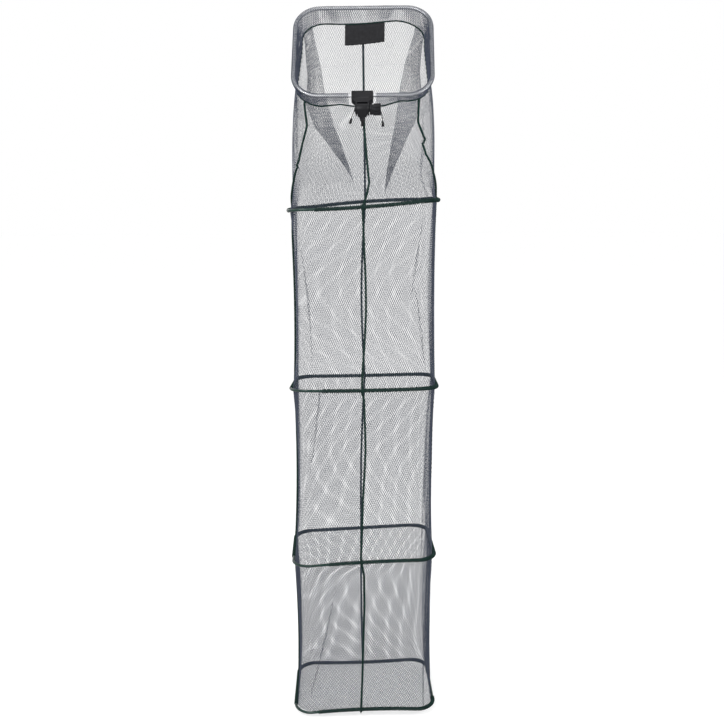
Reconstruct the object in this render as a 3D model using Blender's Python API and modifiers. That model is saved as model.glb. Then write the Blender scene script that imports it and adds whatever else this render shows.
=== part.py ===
# A keep net: a tilting rectangular mouth frame on a bank stick head, and a net bag hung on four rings.
# Metres, +Z up, +X right and +Y away from the viewer. The origin is the centre of the stud's shoulder.
import math

import bmesh
import bpy
from mathutils import Matrix, Vector

# Clearances and wall sizes that many pieces share
gap = 0.0003
overrun = 0.004
net_wall = 0.0025
net_end_rise = 0.0012
net_strand = 0.005
weld_distance = 0.00001

# Bank stick stud and the nose that carries it
stud_radius = 0.00476
stud_reach = 0.017
stud_seat = 0.0135
stud_chamfer = 0.0009
boss_radius = 0.0075
boss_top_radius = 0.0105
boss_height = 0.012
pivot_height = 0.037
lug_radius = 0.0195
lug_half_width = 0.0172
nose_foot_half = 0.009
nose_foot_half_width = 0.0135
nose_bevel = 0.0015

# Head: a moulded body with two cheeks round the lug, and a screwed back cover
cheek_radius = 0.020
cheek_width = 0.005
neck_half_width = 0.0215
head_reach = 0.056
block_half_width = 0.036
block_half_thickness = 0.013
block_rise = 0.0105
block_drop = 0.020
shoulder_drop = 0.034
cheek_half_thickness = 0.012
cover_drop = 0.019
head_bevel = 0.0012
cover_screw_radius = 0.0015
cover_screw_head = 0.003
cover_screw_head_height = 0.002
cover_screw_length = 0.0186
cover_screw_spread = 0.026
cover_screw_drop = 0.0125
counterbore_depth = 0.0027

# Pivot bolt, washer, knob and its insert
bolt_radius = 0.004
bolt_head_radius = 0.007
bolt_head_height = 0.004
washer_radius = 0.009
washer_thickness = 0.0015
knob_neck_radius = 0.017
knob_neck_length = 0.012
knob_radius = 0.0195
knob_rib_depth = 0.0014
knob_length = 0.037
knob_bevel = 0.0015
knob_bore_depth = 0.0245
insert_radius = 0.0066
insert_length = 0.022
bolt_tip_set_back = 0.002

# Mouth frame tube and its joining spigot
mouth_width = 0.465
mouth_depth = 0.370
mouth_corner = 0.085
tube_radius = 0.006
tube_wall = 0.001
tube_butt_gap = 0.002
spigot_half_length = 0.030

# Folded net sleeve, hem cord, label and the two cord tails
sleeve_wall = 0.0008
sleeve_room = 0.0013
sleeve_half_gap = 0.047
hem_half_thickness = 0.0012
hem_front_drop = 0.030
hem_back_drop = 0.052
hem_front_inset = 0.006
hem_back_inset = 0.030
hem_cord_radius = 0.0015
label_width = 0.138
label_height = 0.072
label_thickness = 0.0013
tail_radius = 0.00125
tail_point_step = 0.006
drop_radius = 0.0048
drop_neck_radius = 0.0026
drop_height = 0.018

# Rings: a steel core in a split plastic cover, bound to the net by a lacing cord
ring_width = 0.506
ring_depth = 0.3862
ring_corner = 0.068
ring_core_radius = 0.0016
ring_cover_bore = 0.0022
ring_cover_radius = 0.004
ring_butt_gap = 0.0006
lacing_radius = 0.001
ring_1_drop = 0.513
ring_2_drop = 0.634
ring_3_drop = 0.618
ring_4_drop = 0.567
ring_2_sway = -0.003
ring_3_sway = -0.0125
ring_4_sway = -0.012
knot_half_width = 0.004
knot_half_height = 0.006
last_knot_half_height = 0.0036

# Bag walls, seam cords and the bottom panel
side_slack = 0.019
front_slack = 0.030
wall_slack = 0.006
seam_radius = 0.0025
seam_start = 0.006
bottom_strand = 0.0018
bottom_thickness = 0.0012

# Angles, in degrees: the mouth's slope, the lug's flanks, the sleeve's fold, and how each ring lies
mouth_slope = 56.5
lug_flank_angle = 20
fold_angles = (100, 70, 35, 0, -35, -70, -100)
ring_rolls = (-3.66, -0.92, -2.18, -1.17)
ring_tilts = (-0.15, -4.0, -1.75, -1.25)
ring_turns = (0, 1.0, 3.5, 2.7)
ring_drops = (ring_1_drop, ring_2_drop, ring_3_drop, ring_4_drop)
ring_sways = (0, ring_2_sway, ring_3_sway, ring_4_sway)

# Counts
corner_steps = 4
lacing_curls = 10
curl_points = 8
knob_ribs = 16
bottom_cells_across = 12
bottom_cells_deep = 8
turned_steps = 24
cheek_arc_steps = 14

# Heights of the net's rows, as shares of the way from its top to its foot
throat_row_shares = (0.0, 0.2, 0.45, 0.72, 1.0)
section_row_shares = (0.0, 0.35, 0.65, 1.0)
# Widths of the front slack, as shares of the mouth's half width where it starts to fade
slack_fade_share = 0.35
# Corner of a knob rib, as shares of one rib's turn
rib_turn_shares = (0.0, 0.30, 0.45, 0.85)
# Outline of a drop end from its neck to its foot: (share of radius, share of height)
drop_profile_shares = ((0.62, 0.06), (0.85, 0.35), (1.0, 0.68), (0.92, 0.92), (0.70, 1.0))

# Routes of the two cord tails, from the hem cord to the drop ends
tail_left_route = (
    (-0.0220, 0.0283, 0.0504),
    (-0.0245, 0.0258, 0.0420),
    (-0.0290, 0.0232, 0.0310),
    (-0.0340, 0.0214, 0.0200),
    (-0.0370, 0.0205, 0.0098),
)
tail_right_route = (
    (0.0520, 0.0279, 0.0505),
    (0.0560, 0.0262, 0.0440),
    (0.0605, 0.0240, 0.0335),
    (0.0635, 0.0222, 0.0220),
    (0.0660, 0.0210, 0.0100),
    (0.0668, 0.0205, 0.0005),
)

# Places that follow from the sizes
slope = math.radians(mouth_slope)
pivot = Vector((0, 0, pivot_height))
head_place = Matrix.Translation(pivot) @ Matrix.Rotation(slope, 4, "X")
mouth_place = head_place @ Matrix.Translation((0, head_reach + mouth_depth / 2, 0))
mouth_centre = mouth_place.translation
bag_place = Matrix.Translation(mouth_centre)
knob_start = cheek_width + lug_half_width + gap + washer_thickness + 2 * gap
knob_place = Matrix.Translation(pivot) @ Matrix.Rotation(math.radians(90), 4, "Y")
cheek_outside = lug_half_width + gap + cheek_width
curl_radius = (ring_cover_radius + gap + lacing_radius) / math.cos(math.pi / curl_points)
ring_outer = curl_radius + lacing_radius
wall_inset = ring_outer + gap
ring_places = []
ring_height = mouth_centre.z
for ring_drop, ring_sway, ring_turn, ring_roll, ring_tilt in zip(
    ring_drops, ring_sways, ring_turns, ring_rolls, ring_tilts
):
    ring_height -= ring_drop
    ring_places.append(
        Matrix.Translation((ring_sway, mouth_centre.y, ring_height))
        @ Matrix.Rotation(math.radians(ring_turn), 4, "Z")
        @ Matrix.Rotation(math.radians(ring_roll), 4, "Y")
        @ Matrix.Rotation(math.radians(ring_tilt), 4, "X")
    )

# Colours, roughness and metallic value of each finish
finishes = {
    "black_plastic": ((0.020, 0.020, 0.023), 0.42, 0.0),
    "stud_steel": ((0.30, 0.30, 0.31), 0.35, 1.0),
    "brass": ((0.72, 0.52, 0.24), 0.32, 1.0),
    "aluminium": ((0.74, 0.75, 0.77), 0.30, 1.0),
    "green_cover": ((0.018, 0.060, 0.045), 0.25, 0.0),
    "green_cord": ((0.022, 0.075, 0.055), 0.80, 0.0),
    "netting": ((0.36, 0.38, 0.40), 0.85, 0.0),
    "black_cord": ((0.020, 0.020, 0.022), 0.75, 0.0),
    "woven_label": ((0.018, 0.018, 0.020), 0.80, 0.0),
}


def clear_scene():
    for old in list(bpy.data.objects):
        bpy.data.objects.remove(old)


def make_collection(name):
    collection = bpy.data.collections.new(name)
    bpy.context.scene.collection.children.link(collection)
    return collection


def make_material(piece_name, finish):
    colour, roughness, metallic = finishes[finish]
    material = bpy.data.materials.new(piece_name + "_" + finish)
    material.use_nodes = True
    shader = material.node_tree.nodes["Principled BSDF"]
    shader.inputs["Base Color"].default_value = (*colour, 1)
    shader.inputs["Roughness"].default_value = roughness
    shader.inputs["Metallic"].default_value = metallic
    return material


# An empty at a joint or a ring, which the pieces that move with it hang from
def make_axis(name, place):
    axis = bpy.data.objects.new(name, None)
    parts.objects.link(axis)
    axis.matrix_world = place
    return axis


# A finished piece, hung from its axis with its mesh in that axis's frame
def add_piece(name, data, finish, axis):
    piece = bpy.data.objects.new(name, data)
    parts.objects.link(piece)
    piece.parent = axis
    data.materials.clear()
    data.materials.append(make_material(name, finish))
    return piece


def shade_round(piece, angle=35):
    piece.data.shade_smooth()
    piece.data.set_sharp_from_angle(angle=math.radians(angle))


def add_helper(name, data, axis):
    helper = bpy.data.objects.new(name, data)
    cutters.objects.link(helper)
    helper.parent = axis
    helper.hide_render = True
    helper.display_type = "WIRE"
    return helper


def apply_boolean(piece, helper, operation):
    modifier = piece.modifiers.new(operation.lower() + "_" + helper.name, "BOOLEAN")
    modifier.operation = operation
    modifier.solver = "EXACT"
    modifier.object = helper


def add_bevel(piece, width, segments=2):
    bevel = piece.modifiers.new("edges", "BEVEL")
    bevel.width = width
    bevel.segments = segments
    bevel.limit_method = "ANGLE"
    bevel.angle_limit = math.radians(40)
    piece.modifiers.new("flat_faces", "TRIANGULATE")


def mesh_of(bm, name):
    mesh = bpy.data.meshes.new(name)
    bm.to_mesh(mesh)
    bm.free()
    return mesh


def box_mesh(name, low, high):
    bm = bmesh.new()
    bmesh.ops.create_cube(bm, size=1)
    size = Vector(high) - Vector(low)
    middle = (Vector(high) + Vector(low)) / 2
    bmesh.ops.transform(bm, verts=bm.verts, matrix=Matrix.Translation(middle) @ Matrix.Diagonal((*size, 1)))
    return mesh_of(bm, name)


# A round bar from one point to another
def bar_mesh(name, start, end, radius, end_radius=None, steps=turned_steps):
    start, end = Vector(start), Vector(end)
    bm = bmesh.new()
    bmesh.ops.create_cone(
        bm,
        cap_ends=True,
        segments=steps,
        radius1=radius,
        radius2=radius if end_radius is None else end_radius,
        depth=(end - start).length,
    )
    turn = (end - start).to_track_quat("Z", "Y").to_matrix().to_4x4()
    bmesh.ops.transform(bm, verts=bm.verts, matrix=Matrix.Translation((start + end) / 2) @ turn)
    return mesh_of(bm, name)


# A turned piece: the profile is (radius, height) down its outer side
def turned_mesh(name, profile):
    bm = bmesh.new()
    points = [bm.verts.new((radius, 0, height)) for radius, height in profile]
    for first, second in zip(points, points[1:]):
        bm.edges.new((first, second))
    if profile[0][0] > 0:
        bm.edges.new((points[-1], points[0]))
    return mesh_of(bm, name)


def add_turning(piece, steps=turned_steps):
    screw = piece.modifiers.new("turn", "SCREW")
    screw.steps = steps
    screw.render_steps = steps
    screw.use_merge_vertices = True
    screw.merge_threshold = weld_distance
    screw.use_smooth_shade = False


# A curve's evaluated mesh, with its caps welded on
def solid_of_curve(curve, name):
    carrier = bpy.data.objects.new(name + "_curve", curve)
    cutters.objects.link(carrier)
    bpy.context.view_layer.update()
    seen = carrier.evaluated_get(bpy.context.evaluated_depsgraph_get())
    mesh = bpy.data.meshes.new_from_object(seen)
    bpy.data.objects.remove(carrier)
    bm = bmesh.new()
    bm.from_mesh(mesh)
    bmesh.ops.remove_doubles(bm, verts=bm.verts, dist=weld_distance)
    bmesh.ops.recalc_face_normals(bm, faces=bm.faces)
    bm.to_mesh(mesh)
    bm.free()
    mesh.name = name
    return mesh


def tube_curve(name, points, radius, closed=False, resolution=2):
    curve = bpy.data.curves.new(name, "CURVE")
    curve.dimensions = "3D"
    curve.bevel_depth = radius
    curve.bevel_resolution = resolution
    curve.use_fill_caps = True
    spline = curve.splines.new("POLY")
    spline.points.add(len(points) - 1)
    for spot, point in zip(spline.points, points):
        spot.co = (*point, 1)
    spline.use_cyclic_u = closed
    return curve


# A flat outline made as thick as asked, centred on its own plane
def plate_mesh(name, outline, thickness, place):
    curve = bpy.data.curves.new(name, "CURVE")
    curve.dimensions = "2D"
    curve.fill_mode = "BOTH"
    curve.extrude = thickness / 2
    spline = curve.splines.new("POLY")
    spline.points.add(len(outline) - 1)
    for spot, (x, y) in zip(spline.points, outline):
        spot.co = (x, y, 0, 1)
    spline.use_cyclic_u = True
    mesh = solid_of_curve(curve, name)
    mesh.transform(place)
    return mesh


# A rounded rectangle as points from the front's middle, round by the right, with the four middles in it
def rounded_outline(width, depth, corner, steps=corner_steps):
    half_x, half_y = width / 2, depth / 2
    middles = ((0, -half_y), (half_x, 0), (0, half_y), (-half_x, 0))
    centres = ((1, -1), (1, 1), (-1, 1), (-1, -1))
    points = []
    for side, (middle, (sign_x, sign_y)) in enumerate(zip(middles, centres)):
        points.append(Vector((*middle, 0)))
        centre = Vector((sign_x * (half_x - corner), sign_y * (half_y - corner), 0))
        for step in range(steps + 1):
            angle = math.radians(-90 + 90 * side + 90 * step / steps)
            points.append(centre + corner * Vector((math.cos(angle), math.sin(angle), 0)))
    return points


# The places of the four middles in a rounded outline's list
def middle_places():
    return {side: place * (corner_steps + 2) for place, side in enumerate(("front", "right", "back", "left"))}


# The places where a net wall has a column: the middles and both ends of each corner
def wall_places():
    return [middle + step for middle in middle_places().values() for step in (0, 1, 1 + corner_steps)]


# A surface through rows of points, facing away from the first row's centre
def loft_bmesh(rows, closed):
    bm = bmesh.new()
    grid = [[bm.verts.new(point) for point in row] for row in rows]
    count = len(rows[0])
    for upper, lower in zip(grid, grid[1:]):
        for place in range(count if closed else count - 1):
            after = (place + 1) % count
            bm.faces.new((upper[place], lower[place], lower[after], upper[after]))
    bm.normal_update()
    first = bm.faces[:][0]
    inside = sum(rows[0], Vector()) / count
    if first.normal.dot(first.calc_center_median() - inside) < 0:
        bmesh.ops.reverse_faces(bm, faces=bm.faces)
    return bm


# Every face becomes a frame of strands round an opening
def keep_strands(bm, strand):
    bm.normal_update()
    frames = bmesh.ops.inset_individual(bm, faces=bm.faces[:], thickness=strand / 2, use_even_offset=True)
    kept = set(frames["faces"])
    bmesh.ops.delete(bm, geom=[face for face in bm.faces if face not in kept], context="FACES_ONLY")


def add_wall(piece, thickness):
    wall = piece.modifiers.new("wall", "SOLIDIFY")
    wall.thickness = thickness
    wall.offset = -1
    wall.use_even_offset = True


def to_frame(points, place):
    back = place.inverted()
    return [back @ point for point in points]


# The way along a run of points at each of them, halfway between its two legs
def ways_along(points, closed):
    if closed:
        ring = [points[-1]] + points + [points[0]]
    else:
        ring = [2 * points[0] - points[1]] + points + [2 * points[-1] - points[-2]]
    return [
        ((after - point).normalized() + (point - before).normalized()).normalized()
        for before, point, after in zip(ring, ring[1:], ring[2:])
    ]


# The part of a direction that is square to another, at length one
def square_to(way, along):
    return (way - along * way.dot(along)).normalized()


# Even steps of length along a closed run of points: place and the way out from its middle
def walk_closed(points, count):
    lengths = [(points[(k + 1) % len(points)] - point).length for k, point in enumerate(points)]
    outs = [Vector((along.y, -along.x, 0)) for along in ways_along(points, closed=True)]
    total, found, leg, passed = sum(lengths), [], 0, 0.0
    for step in range(count):
        target = total * step / count
        while passed + lengths[leg] < target:
            passed += lengths[leg]
            leg += 1
        share = (target - passed) / lengths[leg]
        after = (leg + 1) % len(points)
        out = outs[leg].lerp(outs[after], share).normalized()
        found.append((points[leg].lerp(points[after], share), out))
    return found


# A smooth run through hand-chosen points, with a point about every step of its length
def smooth_route(route, step):
    spots = [Vector(point) for point in route]
    spots = [2 * spots[0] - spots[1]] + spots + [2 * spots[-1] - spots[-2]]
    found = []
    for before, start, end, after in zip(spots, spots[1:], spots[2:], spots[3:]):
        parts_here = max(1, round((end - start).length / step))
        for part in range(parts_here):
            t = part / parts_here
            found.append(
                0.5
                * (
                    2 * start
                    + (end - before) * t
                    + (2 * before - 5 * start + 4 * end - after) * t * t
                    + (3 * start - before - 3 * end + after) * t * t * t
                )
            )
    return found + [spots[-2]]


# Nose: a lug between the cheeks, a foot below it and a round boss that the stud screws into
def make_nose():
    foot_drop = pivot_height - boss_height
    outline = []
    start = math.asin(nose_foot_half / lug_radius) + math.radians(lug_flank_angle)
    for step in range(cheek_arc_steps + 1):
        angle = -math.pi / 2 + start + (2 * math.pi - 2 * start) * step / cheek_arc_steps
        outline.append((lug_radius * math.cos(angle), lug_radius * math.sin(angle)))
    outline += [(-nose_foot_half, -foot_drop), (nose_foot_half, -foot_drop)]
    lug_place = Matrix.Translation(pivot) @ Matrix(((0, 0, 1, 0), (1, 0, 0, 0), (0, 1, 0, 0), (0, 0, 0, 1)))
    lug_mesh = plate_mesh("nose", outline, 2 * lug_half_width, lug_place)
    lug = add_piece("nose_body", lug_mesh, "black_plastic", nose_axis)
    for vertex in lug.data.vertices:
        if vertex.co.z < boss_height + gap:
            vertex.co.x *= nose_foot_half_width / lug_half_width
    add_bevel(lug, nose_bevel)
    boss_top = boss_height + nose_foot_half
    boss = add_helper(
        "nose_boss", bar_mesh("boss", (0, 0, 0), (0, 0, boss_top), boss_radius, boss_top_radius), nose_axis
    )
    apply_boolean(lug, boss, "UNION")
    bolt_way = (pivot - along_x(cheek_outside), pivot + along_x(cheek_outside))
    drill(lug, "nose_bolt_hole", *bolt_way, bolt_radius + gap)
    drill(lug, "nose_stud_hole", (0, 0, -overrun), (0, 0, stud_seat + gap), stud_radius + gap)
    profile = (
        (0, stud_seat),
        (stud_radius, stud_seat),
        (stud_radius, stud_chamfer - stud_reach),
        (stud_radius - stud_chamfer, -stud_reach),
        (0, -stud_reach),
    )
    stud = add_piece("threaded_stud", turned_mesh("stud", profile), "stud_steel", nose_axis)
    add_turning(stud)


def along_x(length):
    return Vector((length, 0, 0))


# A round hole through a piece, from one point to another
def drill(piece, name, start, end, radius, axis=None):
    helper = add_helper(name, bar_mesh(name, start, end, radius), axis or piece.parent)
    apply_boolean(piece, helper, "DIFFERENCE")


# Head body: the clamp block, its tapering neck and the two cheeks, in the head's own frame
def make_head():
    block_top = head_reach + block_rise
    neck_foot = cheek_radius + gap
    right = (
        (neck_half_width, neck_foot),
        (neck_half_width, head_reach - shoulder_drop),
        (block_half_width, head_reach - block_drop),
        (block_half_width, block_top),
    )
    outline = list(right) + [(-x, y) for x, y in reversed(right)]
    body_mesh = plate_mesh("head", outline, 2 * block_half_thickness, Matrix())
    body = add_piece("head_body", body_mesh, "black_plastic", head_axis)
    add_bevel(body, head_bevel)
    cheek_top = neck_foot + cheek_width
    cheek_outline = [(cheek_half_thickness, cheek_top), (-cheek_half_thickness, cheek_top)]
    start = math.asin(cheek_half_thickness / cheek_radius)
    for step in range(cheek_arc_steps + 1):
        angle = math.pi / 2 + start + (2 * math.pi - 2 * start) * step / cheek_arc_steps
        cheek_outline.append((cheek_radius * math.cos(angle), cheek_radius * math.sin(angle)))
    for side, sign in (("left", -1), ("right", 1)):
        middle = sign * (lug_half_width + gap + cheek_width / 2)
        turn = Matrix(((0, 0, 1, middle), (0, 1, 0, 0), (-1, 0, 0, 0), (0, 0, 0, 1)))
        cheek = add_helper("cheek_" + side, plate_mesh("cheek", cheek_outline, cheek_width, turn), head_axis)
        hole_start, hole_end = along_x(middle - cheek_width), along_x(middle + cheek_width)
        drill(cheek, "cheek_bolt_hole_" + side, hole_start, hole_end, bolt_radius + gap)
        apply_boolean(body, cheek, "UNION")
    far = block_half_width + overrun
    pocket = box_mesh(
        "pocket",
        (-far, head_reach - cover_drop - gap, -block_half_thickness - overrun),
        (far, block_top + overrun, gap / 2),
    )
    channel = (Vector((-far, head_reach, 0)), Vector((far, head_reach, 0)))
    drill(body, "head_tube_channel", *channel, tube_radius + gap)
    apply_boolean(body, add_helper("cover_pocket", pocket, head_axis), "DIFFERENCE")
    cover = add_piece(
        "head_back_cover",
        box_mesh(
            "cover",
            (-block_half_width, head_reach - cover_drop, -block_half_thickness),
            (block_half_width, block_top, -gap / 2),
        ),
        "black_plastic",
        head_axis,
    )
    add_bevel(cover, head_bevel)
    drill(cover, "cover_tube_channel", *channel, tube_radius + gap)
    screw_top = -block_half_thickness + gap
    for side, sign in (("left", -1), ("right", 1)):
        spot = Vector((sign * cover_screw_spread, head_reach - cover_screw_drop, 0))
        place = Matrix.Translation((spot.x, spot.y, screw_top)) @ Matrix.Rotation(math.pi, 4, "X")
        profile = (
            (0, 0),
            (cover_screw_head, 0),
            (cover_screw_head, -cover_screw_head_height),
            (cover_screw_radius, -cover_screw_head_height),
            (cover_screw_radius, -cover_screw_length),
            (0, -cover_screw_length),
        )
        screw = add_piece("cover_screw_" + side, turned_mesh("screw", profile), "stud_steel", head_axis)
        screw.matrix_local = place
        add_turning(screw, turned_steps // 2)
        tip = spot + Vector((0, 0, screw_top + cover_screw_length + gap))
        outside = spot - Vector((0, 0, block_half_thickness + overrun))
        seat = spot - Vector((0, 0, block_half_thickness - counterbore_depth))
        through = spot + Vector((0, 0, overrun))
        drill(cover, "cover_screw_hole_" + side, outside, through, cover_screw_radius + gap)
        drill(cover, "cover_counterbore_" + side, outside, seat, cover_screw_head + gap)
        drill(body, "body_screw_hole_" + side, spot - Vector((0, 0, overrun)), tip, cover_screw_radius + gap)


# Pivot bolt through cheeks and lug, its washer, and the ribbed knob with its threaded insert
def make_pivot():
    insert_start = knob_start + gap
    bolt_tip = insert_start + insert_length - bolt_tip_set_back
    head_seat = -cheek_outside - gap
    profile = (
        (0, bolt_tip),
        (bolt_radius, bolt_tip),
        (bolt_radius, head_seat),
        (bolt_head_radius, head_seat),
        (bolt_head_radius, head_seat - bolt_head_height),
        (0, head_seat - bolt_head_height),
    )
    bolt = add_piece("pivot_bolt", turned_mesh("bolt", profile), "stud_steel", head_axis)
    bolt.matrix_local = Matrix.Rotation(math.radians(90), 4, "Y")
    add_turning(bolt)
    washer_low = cheek_outside + gap
    washer = add_piece(
        "pivot_washer",
        turned_mesh("washer", ring_profile(washer_radius, bolt_radius + gap, washer_low, washer_thickness)),
        "stud_steel",
        head_axis,
    )
    washer.matrix_local = Matrix.Rotation(math.radians(90), 4, "Y")
    add_turning(washer)
    outline = []
    for rib in range(knob_ribs):
        for place, share in enumerate(rib_turn_shares):
            angle = 2 * math.pi * (rib + share) / knob_ribs
            radius = knob_radius - (0 if place in (0, 1) else knob_rib_depth)
            outline.append((radius * math.cos(angle), radius * math.sin(angle)))
    grip_length = knob_length - knob_neck_length
    grip_middle = knob_start + knob_neck_length + grip_length / 2
    knob = add_piece(
        "locking_knob",
        plate_mesh("knob", outline, grip_length, Matrix.Translation((0, 0, grip_middle))),
        "black_plastic",
        knob_axis,
    )
    neck_end = knob_start + knob_neck_length + overrun
    neck = bar_mesh("knob_neck", (0, 0, knob_start), (0, 0, neck_end), knob_neck_radius)
    apply_boolean(knob, add_helper("knob_neck", neck, knob_axis), "UNION")
    bore_end = knob_start + knob_bore_depth
    drill(knob, "knob_bore", (0, 0, knob_start - overrun), (0, 0, bore_end), insert_radius + gap)
    insert_profile = ring_profile(insert_radius, bolt_radius + gap, insert_start, insert_length)
    insert = add_piece("knob_insert", turned_mesh("insert", insert_profile), "brass", knob_axis)
    add_turning(insert)


# The closed profile of a plain ring about the turning axis
def ring_profile(outer, inner, low, length):
    return ((outer, low + length), (outer, low), (inner, low), (inner, low + length))


# Where the hem hangs below a point of the mouth tube, in world metres
def hem_below(tube_point):
    back_share = 0.5 + tube_point.y / mouth_depth
    drop = hem_front_drop + (hem_back_drop - hem_front_drop) * back_share
    inset = hem_front_inset + (hem_back_inset - hem_front_inset) * back_share
    side_share = max(-1, min(1, 2 * tube_point.x / (mouth_width - mouth_corner)))
    return mouth_place @ tube_point - Vector((inset * side_share, 0, drop))


# For each point of a run on the mouth tube: its place, the hem below it, and the way along at each of the two
def hem_stations(points, closed):
    centres = [mouth_place @ point for point in points]
    hems = [hem_below(point) for point in points]
    return list(zip(centres, hems, ways_along(centres, closed), ways_along(hems, closed)))


# The hem cord's line, with the way along it: just past the hem, square to it in the sleeve's own surface
def hem_cord_line(loop):
    past = 2 * gap + hem_cord_radius
    stations = hem_stations(loop, True)
    return [(hem + square_to(hem - centre, way) * past, way) for centre, hem, _, way in stations]


# Mouth frame: an open loop of tube whose ends meet on a spigot inside the head
def make_mouth_frame():
    loop = rounded_outline(mouth_width, mouth_depth, mouth_corner)
    front = loop[0]
    path = [front + along_x(tube_butt_gap / 2)] + loop[1:] + [front - along_x(tube_butt_gap / 2)]
    tube = add_piece(
        "mouth_frame_tube",
        solid_of_curve(tube_curve("tube", path, tube_radius, resolution=4), "tube"),
        "aluminium",
        mouth_axis,
    )
    bore = tube_curve("tube_bore", loop, tube_radius - tube_wall, closed=True, resolution=2)
    apply_boolean(tube, add_helper("tube_bore", solid_of_curve(bore, "tube_bore"), mouth_axis), "DIFFERENCE")
    shade_round(tube)
    spigot = bar_mesh(
        "spigot",
        front - along_x(spigot_half_length),
        front + along_x(spigot_half_length),
        tube_radius - tube_wall - 2 * gap,
        steps=turned_steps // 2,
    )
    add_piece("frame_spigot", spigot, "aluminium", mouth_axis)
    return loop


# Sleeve: net folded over the tube and sewn together at the hem, open where the head sits
def make_sleeve(loop):
    front = loop[0]
    stations = [front + along_x(sleeve_half_gap)] + loop[1:] + [front - along_x(sleeve_half_gap)]
    radius = tube_radius + sleeve_room + gap + sleeve_wall
    rows = []
    for centre, hem, tube_way, hem_way in hem_stations(stations, False):
        down = square_to(hem - centre, tube_way)
        across = tube_way.cross(down)
        spread = hem_way.cross(square_to(hem - centre, hem_way)) * hem_half_thickness
        row = [hem + spread]
        for angle in fold_angles:
            turn = math.radians(angle)
            row.append(centre + radius * (across * math.sin(turn) - down * math.cos(turn)))
        row.append(hem - spread)
        rows.append(to_frame(row, mouth_place))
    sleeve_mesh = mesh_of(loft_bmesh(rows, closed=True), "sleeve")
    sleeve = add_piece("frame_sleeve", sleeve_mesh, "netting", mouth_axis)
    add_wall(sleeve, sleeve_wall)


# Hem cord under the sleeve all the way round, with two tails that end in drops, and the label
def make_hem(loop):
    line = to_frame([spot for spot, _ in hem_cord_line(loop)], mouth_place)
    cord = tube_curve("hem", line, hem_cord_radius, closed=True, resolution=1)
    add_piece("hem_cord", solid_of_curve(cord, "hem"), "green_cord", mouth_axis)
    back_hem = hem_below(loop[middle_places()["back"]])
    label_back = back_hem.y - net_wall - gap
    low = (-label_width / 2, label_back - label_thickness, back_hem.z - label_height)
    high = (label_width / 2, label_back, back_hem.z)
    label = box_mesh("label", low, high)
    label.transform(mouth_place.inverted())
    add_piece("name_label", label, "woven_label", mouth_axis)
    for side, route in (("left", tail_left_route), ("right", tail_right_route)):
        points = smooth_route(route, tail_point_step)
        tail = tube_curve("tail", to_frame(points, mouth_place), tail_radius, resolution=2)
        add_piece("tie_cord_" + side, solid_of_curve(tail, "tail"), "black_cord", mouth_axis)
        end, way = points[-1], (points[-1] - points[-2]).normalized()
        drop_place = Matrix.Translation(end + way * gap) @ (-way).to_track_quat("Z", "Y").to_matrix().to_4x4()
        profile = [(0, 0), (drop_neck_radius, 0)]
        profile += [(drop_radius * wide, -drop_height * deep) for wide, deep in drop_profile_shares]
        profile.append((0, -drop_height))
        piece = add_piece("cord_end_" + side, turned_mesh("drop", profile), "black_plastic", mouth_axis)
        piece.matrix_local = mouth_place.inverted() @ drop_place
        add_turning(piece, turned_steps // 2)


# One ring: a steel core, a plastic cover split at the back, and the lacing wound round it
def make_ring(number, axis):
    name = f"ring_{number}"
    loop = rounded_outline(ring_width, ring_depth, ring_corner)
    core = tube_curve("core", loop, ring_core_radius, closed=True, resolution=0)
    add_piece(name + "_core", solid_of_curve(core, "core"), "stud_steel", axis)
    back = middle_places()["back"]
    path = loop[back:] + loop[:back] + [loop[back]]
    path[0] = path[0] - along_x(ring_butt_gap / 2)
    path[-1] = path[-1] + along_x(ring_butt_gap / 2)
    cover_mesh = solid_of_curve(tube_curve("cover", path, ring_cover_radius), "cover")
    cover = add_piece(name + "_cover", cover_mesh, "green_cover", axis)
    bore = tube_curve("cover_bore", loop, ring_cover_bore, closed=True, resolution=1)
    apply_boolean(cover, add_helper(name + "_bore", solid_of_curve(bore, "cover_bore"), axis), "DIFFERENCE")
    shade_round(cover)
    curls = []
    for step, (centre, out) in enumerate(walk_closed(loop, lacing_curls * curl_points)):
        turn = 2 * math.pi * step / curl_points
        curls.append(centre + curl_radius * (out * math.cos(turn) + Vector((0, 0, math.sin(turn)))))
    lacing = tube_curve("lacing", curls, lacing_radius, closed=True, resolution=1)
    add_piece(name + "_lacing", solid_of_curve(lacing, "lacing"), "green_cord", axis)
    return curls


# The loop of the net's outer face where it is laced inside a ring, a little above or below its plane
def laced_loop(place, offset):
    loop = rounded_outline(
        ring_width - 2 * wall_inset, ring_depth - 2 * wall_inset, ring_corner - wall_inset
    )
    return [place @ (point + Vector((0, 0, offset))) for point in loop]


# Rows of the throat: from under the hem cord to the first ring, with slack in front and at the sides
def throat_rows(loop):
    past = 3 * gap + hem_cord_radius
    top = [spot + square_to(Vector((0, 0, -1)), way) * past for spot, way in hem_cord_line(loop)]
    foot = laced_loop(ring_places[0], net_end_rise)
    rows = []
    for share in throat_row_shares:
        row = []
        for upper, lower in zip(top, foot):
            point = upper.lerp(lower, share)
            bow = math.sin(math.pi * share)
            wide = point.x / (mouth_width / 2)
            point.x += side_slack * math.sin(math.pi * share**0.7) * max(-1, min(1, wide))
            forward = max(0, (mouth_centre.y - point.y) / (mouth_depth / 2))
            fade = max(0, 1 - max(0, abs(wide) - slack_fade_share) / (1 - slack_fade_share))
            point.y += front_slack * bow * fade * min(1, 2 * forward)
            row.append(point)
        rows.append(row)
    return rows


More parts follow.
